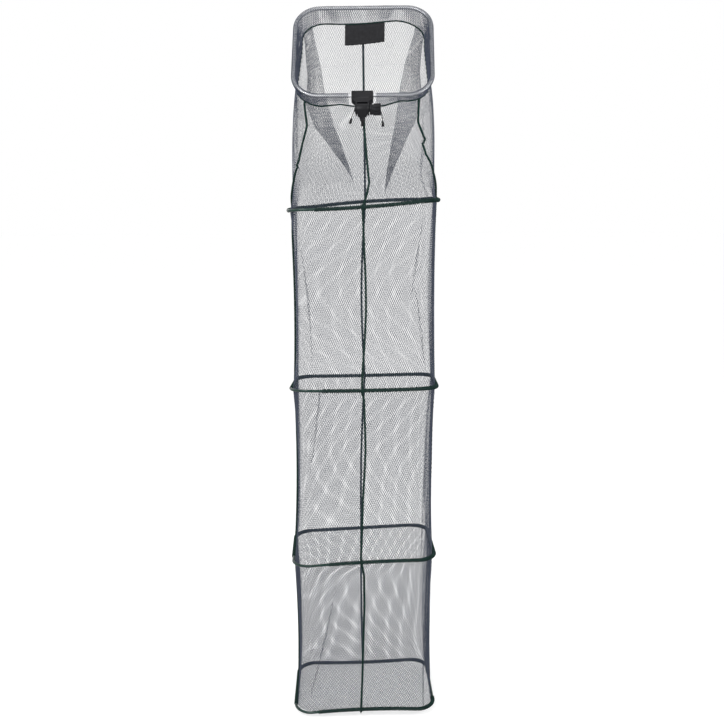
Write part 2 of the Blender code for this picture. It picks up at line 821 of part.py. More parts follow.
# Rows of one section: between two rings, drawn in a little halfway
def section_rows(number):
    top = laced_loop(ring_places[number - 1], -net_end_rise)
    foot = laced_loop(ring_places[number], net_end_rise)
    rows = []
    for share in section_row_shares:
        row = []
        for upper, lower in zip(top, foot):
            point = upper.lerp(lower, share)
            inward = Vector((0, mouth_centre.y, point.z)) - point
            row.append(point + inward.normalized() * wall_slack * math.sin(math.pi * share))
        rows.append(row)
    return rows


# A net wall with openings through its rows, and the four seam cords that run down its outside
def make_net(name, seam_name, rows, place, axis, front_start):
    bm = loft_bmesh([to_frame([row[column] for column in wall_places()], place) for row in rows], closed=True)
    keep_strands(bm, net_strand)
    net = add_piece(name, mesh_of(bm, "net"), "netting", axis)
    add_wall(net, net_wall)
    outs = {
        "front": Vector((0, -1, 0)),
        "right": Vector((1, 0, 0)),
        "back": Vector((0, 1, 0)),
        "left": Vector((-1, 0, 0)),
    }
    for side, column in middle_places().items():
        path = [row[column] + outs[side] * (seam_radius + gap) for row in rows]
        top_trim = front_start if side == "front" else seam_start
        path[0] = path[0] + (path[1] - path[0]).normalized() * top_trim
        path[-1] = path[-1] + (path[-2] - path[-1]).normalized() * (ring_outer + gap)
        cord = tube_curve("seam", to_frame(path, place), seam_radius, resolution=1)
        add_piece(seam_name + "_" + side, solid_of_curve(cord, "seam"), "green_cord", axis)


# A tied knot: a small closed egg
def make_knot(name, centre, half_width, half_height, axis):
    bm = bmesh.new()
    bmesh.ops.create_uvsphere(bm, u_segments=8, v_segments=6, radius=1)
    size = Matrix.Diagonal((half_width, half_width, half_height, 1))
    bmesh.ops.transform(bm, verts=bm.verts, matrix=Matrix.Translation(centre) @ size)
    knot = add_piece(name, mesh_of(bm, "knot"), "green_cord", axis)
    shade_round(knot, 60)


# Bottom panel: a flat net of diamonds that ends on the last ring's laced loop
def make_bottom(axis):
    half_x, half_y = ring_width / 2 - wall_inset, ring_depth / 2 - wall_inset
    corner = ring_corner - wall_inset
    across, deep = bottom_cells_across, bottom_cells_deep
    height = -gap / 2
    bm = bmesh.new()
    spots = {}
    for i in range(across + 1):
        for j in range(deep + 1):
            if (i + j) % 2:
                continue
            spot = Vector((half_x * (2 * i / across - 1), half_y * (2 * j / deep - 1), 0))
            middle = Vector((half_x - corner, half_y - corner, 0))
            middle = Vector((math.copysign(middle.x, spot.x), math.copysign(middle.y, spot.y), 0))
            beyond = spot - middle
            past_x = abs(spot.x) > half_x - corner
            if past_x and abs(spot.y) > half_y - corner and beyond.length > corner:
                spot = middle + beyond.normalized() * corner
            spots[i, j] = bm.verts.new(spot + Vector((0, 0, height)))
    for i in range(across + 1):
        for j in range(deep + 1):
            around = [(i - 1, j), (i, j - 1), (i + 1, j), (i, j + 1)]
            corners = [spots[key] for key in around if key in spots]
            if (i + j) % 2 and len(corners) > 2:
                bm.faces.new(corners)
    keep_strands(bm, bottom_strand)
    net = add_piece("bottom_net", mesh_of(bm, "bottom"), "netting", axis)
    add_wall(net, bottom_thickness)


# Least gap of the lacing to itself, between turns more than half a curl apart
def print_least_gap(curls):
    least = min(
        (first - second).length
        for place, first in enumerate(curls)
        for other, second in enumerate(curls)
        if curl_points / 2 < other - place < len(curls) - curl_points / 2
    )
    print(f"least gap of a lacing to itself: {(least - 2 * lacing_radius) * 1000:.2f} mm")


def make_rings():
    for number, (axis, place) in enumerate(zip(ring_axes, ring_places), 1):
        curls = make_ring(number, axis)
        if number < len(ring_places):
            rows = section_rows(number)
            front_start = ring_outer + 2 * gap + 2 * knot_half_height
            make_net(f"net_section_{number}", f"seam_{number}", rows, place, axis, front_start)
            top, below = rows[0][0], rows[1][0]
            under_ring = top + (below - top).normalized() * (ring_outer + gap + knot_half_height)
            knot_centre = place.inverted() @ (under_ring - Vector((0, knot_half_width + gap, 0)))
            make_knot(f"ring_{number}_knot", knot_centre, knot_half_width, knot_half_height, axis)
        else:
            make_bottom(axis)
            under = -gap / 2 - bottom_thickness - gap - last_knot_half_height
            knot_centre = Vector((0, wall_inset - gap + knot_half_width - ring_depth / 2, under))
            make_knot(f"ring_{number}_knot", knot_centre, knot_half_width, last_knot_half_height, axis)
    print_least_gap(curls)


clear_scene()
parts = make_collection("keep_net")
cutters = make_collection("cutters")
nose_axis = make_axis("nose_axis", Matrix())
head_axis = make_axis("head_axis", head_place)
mouth_axis = make_axis("mouth_axis", mouth_place)
knob_axis = make_axis("knob_axis", knob_place)
bag_axis = make_axis("bag_axis", bag_place)
ring_axes = [make_axis(f"ring_{number}_axis", place) for number, place in enumerate(ring_places, 1)]
bpy.context.view_layer.update()
make_nose()
make_head()
make_pivot()
mouth_loop = make_mouth_frame()
make_sleeve(mouth_loop)
make_hem(mouth_loop)
make_net("throat_net", "throat_seam", throat_rows(mouth_loop), bag_place, bag_axis, seam_start)
make_rings()
bpy.context.view_layer.update()
print(f"{sum(1 for piece in parts.objects if piece.type == 'MESH')} pieces")
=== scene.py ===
import math

import bmesh
import bpy
import numpy as np
from mathutils import Matrix, Vector


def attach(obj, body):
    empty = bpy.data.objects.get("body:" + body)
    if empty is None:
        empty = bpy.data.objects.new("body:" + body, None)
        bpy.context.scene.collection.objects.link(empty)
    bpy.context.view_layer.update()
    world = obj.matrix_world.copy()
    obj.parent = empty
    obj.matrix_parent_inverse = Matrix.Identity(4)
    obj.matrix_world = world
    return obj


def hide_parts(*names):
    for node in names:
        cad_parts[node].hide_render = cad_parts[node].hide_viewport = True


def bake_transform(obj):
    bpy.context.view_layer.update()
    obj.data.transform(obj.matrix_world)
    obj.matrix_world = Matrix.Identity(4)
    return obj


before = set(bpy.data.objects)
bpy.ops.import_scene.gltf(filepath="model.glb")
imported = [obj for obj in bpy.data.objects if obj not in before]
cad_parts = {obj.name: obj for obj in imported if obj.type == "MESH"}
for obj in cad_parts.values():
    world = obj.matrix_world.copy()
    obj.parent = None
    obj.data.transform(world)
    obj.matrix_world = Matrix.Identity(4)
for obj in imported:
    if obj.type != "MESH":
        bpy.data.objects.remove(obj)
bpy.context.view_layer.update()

print("frame loaded with", len(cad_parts), "nodes")

# where the camera stood, worked out from the net's own corners
cameraSettings = {
    "place": (0.0881, -3.3277, -0.1750),
    "lensMm": 48.77,
    "sensorMm": 36.0,
    "downDegrees": 10.79,
    "leftDegrees": 1.63,
    "rollDegrees": -0.39,
}


def placeCamera():
    down = math.radians(cameraSettings["downDegrees"])
    left = math.radians(cameraSettings["leftDegrees"])
    roll = math.radians(cameraSettings["rollDegrees"])
    forward = Vector((-math.sin(left) * math.cos(down), math.cos(left) * math.cos(down), -math.sin(down)))
    level = Vector((math.cos(left), math.sin(left), 0))
    right = math.cos(roll) * level + math.sin(roll) * level.cross(forward)
    up = right.cross(forward)
    turn = Matrix((right, up, -forward)).transposed().to_4x4()
    camera = bpy.data.objects.new("camera", bpy.data.cameras.new("camera"))
    camera.data.lens = cameraSettings["lensMm"]
    camera.data.sensor_width = cameraSettings["sensorMm"]
    camera.data.clip_end = 60
    bpy.context.scene.collection.objects.link(camera)
    camera.matrix_world = Matrix.Translation(cameraSettings["place"]) @ turn
    bpy.context.scene.camera = camera


placeCamera()

# main sizes in metres and degrees, the same as the solids have
mouth = {"width": 0.465, "depth": 0.370, "corner": 0.085, "tube": 0.006, "slope": 56.5, "pivot": 0.037, "reach": 0.056}
hem = {"frontDrop": 0.030, "backDrop": 0.052, "frontInset": 0.006, "backInset": 0.030, "sharpen": 0.030, "rise": 0.007,
       "clothDrop": 0.0018, "cordDrop": 0.0020, "points": 801}
ring = {"width": 0.506, "depth": 0.3862, "corner": 0.068, "cover": 0.0048, "netInset": 0.0062, "coverPoints": 260,
        "lacingPoints": 420}
ringDrops = (0.513, 0.634, 0.618, 0.567)
ringRolls = (-3.66, -0.92, -2.18, -1.17)
ringTilts = (-0.15, -4.0, -1.75, -1.25)
ringTurns = (0, 1.0, 3.5, 2.7)
ringSways = (0, -0.003, -0.0125, -0.012)

headPlace = Matrix.Translation((0, 0, mouth["pivot"])) @ Matrix.Rotation(math.radians(mouth["slope"]), 4, "X")
mouthPlace = headPlace @ Matrix.Translation((0, mouth["reach"] + mouth["depth"] / 2, 0))
mouthCentre = mouthPlace.translation.copy()
ringPlaces = []
ringHeight = mouthCentre.z
for ringDrop, ringSway, ringTurn, ringRoll, ringTilt in zip(ringDrops, ringSways, ringTurns, ringRolls, ringTilts):
    ringHeight -= ringDrop
    ringPlaces.append(
        Matrix.Translation((ringSway, mouthCentre.y, ringHeight))
        @ Matrix.Rotation(math.radians(ringTurn), 4, "Z")
        @ Matrix.Rotation(math.radians(ringRoll), 4, "Y")
        @ Matrix.Rotation(math.radians(ringTilt), 4, "X")
    )


# helpers for points, kept as rows of x, y, z
def moved(place, points):
    return points @ np.array(place.to_3x3()).T + np.array(place.translation)


def unit(rows):
    return rows / np.maximum(np.linalg.norm(rows, axis=-1, keepdims=True), 1e-12)


def reachAlong(points):
    return np.concatenate([[0], np.cumsum(np.linalg.norm(np.diff(points, axis=0), axis=1))])


def pointsAt(points, reach, spots):
    return np.stack([np.interp(spots, reach, points[:, axis]) for axis in range(3)], -1)


# a rounded rectangle from its front middle, round by the right, back to where it began
def roundedLoop(width, depth, corner, steps=40):
    halfX, halfY = width / 2, depth / 2
    points = [(0, -halfY, 0)]
    for side, (signX, signY) in enumerate(((1, -1), (1, 1), (-1, 1), (-1, -1))):
        for step in range(steps + 1):
            angle = math.radians(-90 + 90 * side + 90 * step / steps)
            x = signX * (halfX - corner) + corner * math.cos(angle)
            points.append((x, signY * (halfY - corner) + corner * math.sin(angle), 0))
    return np.array(points + [(0, -halfY, 0)])


# points at shares of the way round a loop, where 0.25 is the right middle
def alongLoop(loop, shares):
    reach = reachAlong(loop)
    return pointsAt(loop, reach, np.mod(shares, 1.0) * reach[-1])


# a smooth line through the places of a route, with a number of parts between each two
def smoothRun(route, parts):
    spots = np.array(route, float)
    spots = np.concatenate([[2 * spots[0] - spots[1]], spots, [2 * spots[-1] - spots[-2]]])
    found = []
    for before, start, end, after in zip(spots, spots[1:], spots[2:], spots[3:]):
        for part in range(parts):
            t = part / parts
            bend = (2 * before - 5 * start + 4 * end - after) * t * t
            twist = (3 * start - before - 3 * end + after) * t * t * t
            found.append(0.5 * (2 * start + (end - before) * t + bend + twist))
    return np.array(found + [spots[-2]])


# node trees, for geometry, for materials and for the surroundings
class Nodes:
    def __init__(self, tree):
        self.tree = tree
        self.column = 0

    def socket(self, name, way, kind, value=None):
        made = self.tree.interface.new_socket(name=name, in_out=way, socket_type=kind)
        if value is not None:
            made.default_value = value

    def feed(self, socket, value):
        if isinstance(value, bpy.types.NodeSocket):
            self.tree.links.new(value, socket)
        else:
            socket.default_value = (*value, 1) if socket.type == "RGBA" else value

    # values go to the first sockets, settings with a capital to the socket of that name and others to the node
    def node(self, kind, *values, **settings):
        made = self.tree.nodes.new(kind)
        self.column += 1
        made.location = (180 * self.column, -220)
        for key, value in settings.items():
            if key[0].isupper():
                self.feed(made.inputs[key.replace("_", " ")], value)
            else:
                setattr(made, key, value)
        for socket, value in zip(made.inputs, values):
            self.feed(socket, value)
        return made

    def out(self, kind, *values, **settings):
        return self.node(kind, *values, **settings).outputs[0]

    def calc(self, operation, *values):
        return self.out("ShaderNodeMath", *values, operation=operation)

    def scaled(self, vector, factor):
        return self.out("ShaderNodeVectorMath", vector, operation="SCALE", Scale=factor)


def startTree(name, sizes):
    maker = Nodes(bpy.data.node_groups.new(name, "GeometryNodeTree"))
    maker.socket("Geometry", "INPUT", "NodeSocketGeometry")
    for size, value in sizes.items():
        maker.socket(size, "INPUT", "NodeSocketInt" if isinstance(value, int) else "NodeSocketFloat", value)
    maker.socket("Material", "INPUT", "NodeSocketMaterial")
    maker.socket("Geometry", "OUTPUT", "NodeSocketGeometry")
    maker.given = maker.node("NodeGroupInput").outputs
    return maker


def endTree(maker, geometry):
    real = maker.out("GeometryNodeRealizeInstances", maker.out("GeometryNodeSetShadeSmooth", geometry))
    maker.node(
        "NodeGroupOutput", maker.out("GeometryNodeSetMaterial", Geometry=real, Material=maker.given["Material"])
    )
    return maker.tree


def sweep(maker, curve, outline):
    return maker.out("GeometryNodeCurveToMesh", Curve=curve, Profile_Curve=outline, Fill_Caps=True)


def circle(maker, radius, sides):
    return maker.out("GeometryNodeCurvePrimitiveCircle", Radius=radius, Resolution=sides)


def lineToCurve(maker):
    return maker.out("GeometryNodeMeshToCurve", maker.given["Geometry"])


def evenSteps(maker, step):
    return maker.out("GeometryNodeResampleCurve", mode="LENGTH", Curve=lineToCurve(maker), Length=step)


# the angle by which something wound with this pitch has turned at each point of a curve
def turnAlong(maker, pitch):
    turns = maker.calc("DIVIDE", maker.node("GeometryNodeSplineParameter").outputs["Length"], pitch)
    return maker.calc("MULTIPLY", turns, math.tau)


# a plain round thread, bar or tube along each line
def makeThreadTree():
    maker = startTree("roundThread", {"Radius": 0.0004, "Sides": 3})
    outline = circle(maker, maker.given["Radius"], maker.given["Sides"])
    return endTree(maker, sweep(maker, lineToCurve(maker), outline))


# a thread pressed flat against the cloth it lies in
def makeFlatTree():
    maker = startTree("flatThread", {"Radius": 0.0004, "Sides": 3, "Flat": 0.38})
    facing = maker.out("GeometryNodeInputNamedAttribute", data_type="FLOAT_VECTOR", Name="facing")
    curve = maker.out("GeometryNodeSetCurveNormal", mode="FREE", Curve=lineToCurve(maker), Normal=facing)
    outline = circle(maker, maker.given["Radius"], maker.given["Sides"])
    flatness = maker.out("ShaderNodeCombineXYZ", maker.given["Flat"], 1.0, 1.0)
    outline = maker.out("GeometryNodeTransform", Geometry=outline, Scale=flatness)
    return endTree(maker, sweep(maker, curve, outline))


# a laid cord: a lobed outline that turns as it goes along each line
def makeCordTree():
    sizes = {"Radius": 0.0015, "Sides": 8, "Plies": 2.0, "Ply Depth": 0.22, "Lay Length": 0.012, "Step": 0.0017}
    maker = startTree("laidCord", sizes)
    given = maker.given
    curve = evenSteps(maker, given["Step"])
    curve = maker.out("GeometryNodeSetCurveTilt", Curve=curve, Tilt=turnAlong(maker, given["Lay Length"]))
    place = maker.out("GeometryNodeInputPosition")
    split = maker.node("ShaderNodeSeparateXYZ", place).outputs
    angle = maker.calc("ARCTAN2", split[1], split[0])
    wave = maker.calc("COSINE", maker.calc("MULTIPLY", angle, given["Plies"]))
    inward = maker.calc("MULTIPLY", maker.calc("SUBTRACT", wave, 1.0), given["Ply Depth"])
    outline = circle(maker, given["Radius"], given["Sides"])
    outline = maker.out("GeometryNodeSetPosition", Geometry=outline, Offset=maker.scaled(place, inward))
    return endTree(maker, sweep(maker, curve, outline))


# a cord wound round and round each line
def makeLacingTree():
    sizes = {"Wrap Radius": 0.0053, "Cord Radius": 0.00135, "Pitch": 0.0036, "Points per Turn": 9.0, "Sides": 4}
    maker = startTree("woundLacing", sizes)
    given = maker.given
    curve = evenSteps(maker, maker.calc("DIVIDE", given["Pitch"], given["Points per Turn"]))
    angle = turnAlong(maker, given["Pitch"])
    out = maker.node("GeometryNodeInputNormal").outputs["Normal"]
    along = maker.out("GeometryNodeInputTangent")
    across = maker.out("ShaderNodeVectorMath", along, out, operation="CROSS_PRODUCT")
    parts = [
        maker.scaled(way, maker.calc("MULTIPLY", maker.calc(operation, angle), given["Wrap Radius"]))
        for way, operation in ((out, "COSINE"), (across, "SINE"))
    ]
    offset = maker.out("ShaderNodeVectorMath", *parts, operation="ADD")
    wound = maker.out("GeometryNodeSetPosition", Geometry=curve, Offset=offset)
    return endTree(maker, sweep(maker, wound, circle(maker, given["Cord Radius"], given["Sides"])))


threadTree, flatTree, cordTree, lacingTree = makeThreadTree(), makeFlatTree(), makeCordTree(), makeLacingTree()


def addObject(name, mesh):
    piece = bpy.data.objects.new(name, mesh)
    bpy.context.scene.collection.objects.link(piece)
    return piece


# the mesh of an object with its modifiers carried out
def carriedOut(piece):
    bpy.context.view_layer.update()
    return bpy.data.meshes.new_from_object(piece.evaluated_get(bpy.context.evaluated_depsgraph_get()))


def meshOf(bm, name):
    mesh = bpy.data.meshes.new(name)
    bm.to_mesh(mesh)
    bm.free()
    return mesh


def lineMesh(name, runs, closed, facing=None):
    edges, start = [], 0
    for run in runs:
        index = np.arange(start, start + len(run) - 1)
        edges.append(np.stack([index, index + 1], 1))
        if closed:
            edges.append(np.array([[start + len(run) - 1, start]]))
        start += len(run)
    mesh = bpy.data.meshes.new(name)
    mesh.from_pydata(np.concatenate(runs).tolist(), np.concatenate(edges).tolist(), [])
    if facing is not None:
        made = mesh.attributes.new("facing", "FLOAT_VECTOR", "POINT")
        made.data.foreach_set("vector", np.concatenate(facing).ravel())
    return mesh


# lines of points, grown by one of the trees into a plain mesh; sizes are the tree's inputs, facing is for flat threads
def grow(name, tree, runs, material, closed=False, facing=None, **sizes):
    carrier = addObject(name, lineMesh(name, runs, closed, facing))
    modifier = carrier.modifiers.new("grow", "NODES")
    modifier.node_group = tree
    values = {**{key.lower(): value for key, value in sizes.items()}, "material": material}
    for item in tree.interface.items_tree:
        key = item.name.replace(" ", "").lower()
        if item.item_type == "SOCKET" and item.in_out == "INPUT" and key in values:
            modifier[item.identifier] = values[key]
    grown = carriedOut(carrier)
    bpy.data.objects.remove(carrier)
    grown.name = name
    if facing is not None:
        grown.attributes.remove(grown.attributes["facing"])
    grown.materials.clear()
    grown.materials.append(material)
    return addObject(name, grown)


# finishes
class Finish(Nodes):
    def __init__(self, name, colour, roughness, metallic=0.0, **fixed):
        self.material = bpy.data.materials.new(name)
        self.material.use_nodes = True
        super().__init__(self.material.node_tree)
        self.shader = self.tree.nodes["Principled BSDF"]
        self.drive(Base_Color=colour, Roughness=roughness, Metallic=metallic, **fixed)

    def drive(self, **sources):
        for socket, source in sources.items():
            self.feed(self.shader.inputs[socket.replace("_", " ")], source)


def startEffect(name, sizes, results):
    maker = Nodes(bpy.data.node_groups.new(name, "ShaderNodeTree"))
    for size, value in sizes.items():
        if isinstance(value, tuple):
            maker.socket(size, "INPUT", "NodeSocketColor", (*value, 1))
        else:
            maker.socket(size, "INPUT", "NodeSocketFloat", value)
    for result, kind in results.items():
        maker.socket(result, "OUTPUT", kind)
    maker.given = maker.node("NodeGroupInput").outputs
    maker.results = maker.node("NodeGroupOutput").inputs
    maker.place = maker.node("ShaderNodeTexCoord").outputs["Object"]
    return maker


def noise(maker, vector, scale, detail):
    return maker.node("ShaderNodeTexNoise", Vector=vector, Scale=scale, Detail=detail).outputs["Fac"]


# two values mixed, the second by its weight and the first by the rest
def mixedBy(maker, first, second, weight):
    return maker.calc("ADD", maker.calc("MULTIPLY", first, 1 - weight), maker.calc("MULTIPLY", second, weight))


def blendColours(maker, share, first, second, **kind):
    made = maker.node("ShaderNodeMix", data_type="RGBA", **kind)
    for place, value in ((0, share), (6, first), (7, second)):
        maker.feed(made.inputs[place], value)
    return made.outputs[2]


# slow change of colour, fine bumps and an uneven gloss, as moulded plastic and paint have
def makeSurfaceEffect():
    sizes = {"Colour": (0.5, 0.5, 0.5), "Worn Colour": (0.6, 0.6, 0.6), "Patch Size": 12.0, "Grain Size": 900.0}
    sizes.update({"Grain Height": 0.00002, "Wear": 0.3, "Gloss Low": 0.3, "Gloss High": 0.5})
    results = {"Colour": "NodeSocketColor", "Roughness": "NodeSocketFloat", "Normal": "NodeSocketVector"}
    maker = startEffect("surfaceWear", sizes, results)
    given = maker.given
    patches = noise(maker, maker.place, given["Patch Size"], 4.0)
    grain = noise(maker, maker.place, given["Grain Size"], 2.0)
    share = maker.calc("MULTIPLY", maker.out("ShaderNodeMapRange", patches, 0.42, 0.68, 0.0, 1.0), given["Wear"])
    maker.feed(maker.results["Colour"], blendColours(maker, share, given["Colour"], given["Worn Colour"]))
    gloss = mixedBy(maker, patches, grain, 0.3)
    gloss = maker.out("ShaderNodeMapRange", gloss, 0.3, 0.7, given["Gloss Low"], given["Gloss High"])
    maker.feed(maker.results["Roughness"], gloss)
    bump = maker.out("ShaderNodeBump", Strength=0.6, Distance=given["Grain Height"], Height=grain)
    maker.feed(maker.results["Normal"], bump)
    return maker.tree


# spun fibres: a fine criss-cross of dark and light, with fuzz
def makeFibreEffect():
    sizes = {"Colour": (0.1, 0.1, 0.1), "Light Colour": (0.2, 0.2, 0.2), "Fibre Size": 1500.0, "Patch Size": 30.0}
    sizes.update({"Fibre Height": 0.0001, "Light Share": 0.5})
    maker = startEffect("spunFibres", sizes, {"Colour": "NodeSocketColor", "Normal": "NodeSocketVector"})
    given = maker.given
    patches = noise(maker, maker.place, given["Patch Size"], 3.0)
    fibres = noise(maker, maker.place, given["Fibre Size"], 4.0)
    mixed = maker.out("ShaderNodeMapRange", mixedBy(maker, fibres, patches, 0.4), 0.38, 0.64, 0.0, 1.0)
    share = maker.calc("MULTIPLY", mixed, given["Light Share"])
    maker.feed(maker.results["Colour"], blendColours(maker, share, given["Colour"], given["Light Colour"]))
    bump = maker.out("ShaderNodeBump", Distance=given["Fibre Height"], Height=fibres)
    maker.feed(maker.results["Normal"], bump)
    return maker.tree


surfaceEffect, fibreEffect = makeSurfaceEffect(), makeFibreEffect()


def surfaceFinish(name, colour, worn, gloss, metallic=0.0, patch=12.0, grain=900.0, height=0.00002, **fixed):
    finish = Finish(name, colour, gloss[0], metallic, **fixed)
    made = finish.node(
        "ShaderNodeGroup", node_tree=surfaceEffect, Colour=colour, Worn_Colour=worn, Patch_Size=patch,
        Grain_Size=grain, Grain_Height=height, Wear=0.4, Gloss_Low=gloss[0], Gloss_High=gloss[1],
    ).outputs
    finish.drive(Base_Color=made["Colour"], Roughness=made["Roughness"], Normal=made["Normal"])
    return finish.material


def fibreFinish(name, colour, light, fibre=1500.0, patch=30.0, height=0.0001, share=0.5, **fixed):
    finish = Finish(name, colour, 0.85, **fixed)
    made = finish.node(
        "ShaderNodeGroup", node_tree=fibreEffect, Colour=colour, Light_Colour=light, Fibre_Size=fibre,
        Patch_Size=patch, Fibre_Height=height, Light_Share=share,
    ).outputs
    finish.drive(Base_Color=made["Colour"], Normal=made["Normal"])
    return finish.material


blackPlastic = surfaceFinish(
    "blackPlastic", (0.007, 0.007, 0.009), (0.018, 0.018, 0.022), (0.30, 0.46), patch=45.0, Specular_IOR_Level=0.26
)
dropPlastic = surfaceFinish(
    "dropPlastic", (0.006, 0.006, 0.008), (0.012, 0.012, 0.015), (0.2, 0.32), patch=60.0, Specular_IOR_Level=0.3
)
steel = surfaceFinish("steel", (0.42, 0.42, 0.43), (0.3, 0.29, 0.28), (0.25, 0.4), metallic=1.0, patch=80.0)
brass = surfaceFinish("brass", (0.72, 0.52, 0.24), (0.45, 0.33, 0.17), (0.28, 0.42), metallic=1.0, patch=80.0)
tubeMetal = surfaceFinish(
    "satinTube", (0.80, 0.81, 0.83), (0.62, 0.63, 0.65), (0.22, 0.38), metallic=1.0, patch=25.0, grain=1600.0,
    height=0.00001,
)
greenCover = surfaceFinish(
    "greenCover", (0.008, 0.034, 0.027), (0.018, 0.056, 0.045), (0.14, 0.26), patch=20.0, grain=500.0,
    Specular_IOR_Level=0.4,
)
greenCord = fibreFinish("greenCord", (0.006, 0.021, 0.018), (0.022, 0.060, 0.051), Specular_IOR_Level=0.25)
blackCord = fibreFinish("blackCord", (0.012, 0.012, 0.014), (0.05, 0.05, 0.055))
netThread = fibreFinish("netThread", (0.046, 0.057, 0.090), (0.110, 0.128, 0.176), patch=9.0, height=0.00005, share=0.8)
print("finishes ready")

# the two tie cords, which hang free from the hem beside the head
tieRadius = 0.00125
tieCord = {"radius": tieRadius * 1.06, "sides": 9, "plies": 3.0, "plyDepth": 0.14, "layLength": 0.006, "step": 0.0006}
tieRoutes = {
    "left": (
        (-0.0220, 0.0283, 0.0504),
        (-0.0245, 0.0258, 0.0420),
        (-0.0290, 0.0232, 0.0310),
        (-0.0340, 0.0214, 0.0200),
        (-0.0370, 0.0205, 0.0098),
    ),
    "right": (
        (0.0520, 0.0279, 0.0505),
        (0.0560, 0.0262, 0.0440),
        (0.0605, 0.0240, 0.0335),
        (0.0635, 0.0222, 0.0220),
        (0.0660, 0.0210, 0.0100),
        (0.0668, 0.0205, 0.0005),
    ),
}
drop = {"radius": 0.0048, "height": 0.018, "gap": 0.0003, "sides": 32}
dropOutline = ((0.50, 0.0), (0.56, 0.02), (0.60, 0.06), (0.68, 0.14), (0.80, 0.26), (0.92, 0.42), (1.0, 0.60))
dropOutline += ((1.0, 0.72), (0.96, 0.84), (0.86, 0.93), (0.70, 0.985), (0.45, 1.0))


# a closed shell through rows of points; a looped one runs on from its last row to its first
def loftMesh(name, rows, place, sharp=40, looped=False):
    bm = bmesh.new()
    rings = [[bm.verts.new(place @ Vector(spot)) for spot in row] for row in rows]
    pairs = list(zip(rings, rings[1:])) + ([(rings[-1], rings[0])] if looped else [])
    for upper, lower in pairs:
        for index in range(len(upper)):
            after = (index + 1) % len(upper)
            bm.faces.new((upper[index], upper[after], lower[after], lower[index]))
    if not looped:
        bm.faces.new(rings[0])
        bm.faces.new(rings[-1])
    bmesh.ops.recalc_face_normals(bm, faces=bm.faces)
    mesh = meshOf(bm, name)
    mesh.shade_smooth()
    mesh.set_sharp_from_angle(angle=math.radians(sharp))
    return mesh


# points round an axis: an outline's rows hold (radius, height, more), and reach gives a row's radius at an angle
def rowsAround(outline, sides, reach=lambda row, angle: row[0]):
    angles = [math.tau * side / sides for side in range(sides)]
    return [
        [(reach(row, angle) * math.cos(angle), reach(row, angle) * math.sin(angle), row[1]) for angle in angles]
        for row in outline
    ]


def turnedMesh(name, outline, sides, place, looped=False):
    return loftMesh(name, rowsAround(outline, sides), place, looped=looped)


def joinMeshes(name, meshes):
    bm = bmesh.new()
    for mesh in meshes:
        bm.from_mesh(mesh)
    return meshOf(bm, name)


def finishPiece(piece, body, nodes=(), material=None):
    if material is not None:
        piece.data.materials.clear()
        piece.data.materials.append(material)
    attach(piece, body)
    if nodes:
        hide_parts(*nodes)
    return piece


for side, route in tieRoutes.items():
    line = smoothRun(route, 8)
    cordPiece = grow(f"tieCord_{side}", cordTree, [line], blackCord, **tieCord)
    finishPiece(cordPiece, "mouth", [f"tie_cord_{side}"])
    end, way = Vector(line[-1]), Vector(line[-1] - line[-2]).normalized()
    dropPlace = Matrix.Translation(end + way * drop["gap"]) @ (-way).to_track_quat("Z", "Y").to_matrix().to_4x4()
    outline = [(drop["radius"] * wide, -drop["height"] * deep) for wide, deep in dropOutline]
    dropPiece = addObject(f"cordDrop_{side}", turnedMesh("drop", outline, drop["sides"], dropPlace))
    finishPiece(dropPiece, "mouth", [f"cord_end_{side}"], dropPlastic)
print("tie cords made")

# the cloth of the bag: a loop above, a loop below, and the folds between them
# where there are four values, they are the throat's and those of the three sections
net = {
    "columns": (228, 228, 244, 260),
    "backColumns": 304,  # more of them in the throat's back, where the cloth is spread
    "rows": (0.0077, 0.0081, 0.0076, 0.0069),
    "meet": 0.8 * 0.00055,  # how far from the middle two neighbours meet
    "threads": (0.00045, 0.00056, 0.00063, 0.00075),
    "backThread": 0.00054,
    "cornerRadius": 0.067,
    "slackRadius": 0.178,
    "slack": (0.9, 0.10, 0.10, 0.10),  # how far the cloth goes from the ring's corners to the rounder loop
    "yaw": (0.0, 4.0, 1.9, 0.9),  # degrees of twist half-way down
    "endRise": 0.0012,
}
tubeLoop = roundedLoop(mouth["width"], mouth["depth"], mouth["corner"])
ringLoop = roundedLoop(ring["width"], ring["depth"], ring["corner"])
netSize = ring["width"] - 2 * ring["netInset"], ring["depth"] - 2 * ring["netInset"]
netLoop, slackLoop = roundedLoop(*netSize, net["cornerRadius"]), roundedLoop(*netSize, net["slackRadius"])
halfCloth = reachAlong(netLoop)[-1] / 2

# how far the hem rises above its even fall: places from side to side, then heights
hemRises = {
    "front": ((-0.21, -0.14, -0.075, -0.03, 0.07, 0.13, 0.20), (0.004, -0.001, 0.004, -0.002, -0.002, 0.014, 0.012)),
    "back": ((-0.20, -0.05, 0.0, 0.13, 0.21), (0.003, 0.001, 0.003, 0.011, 0.001)),
}


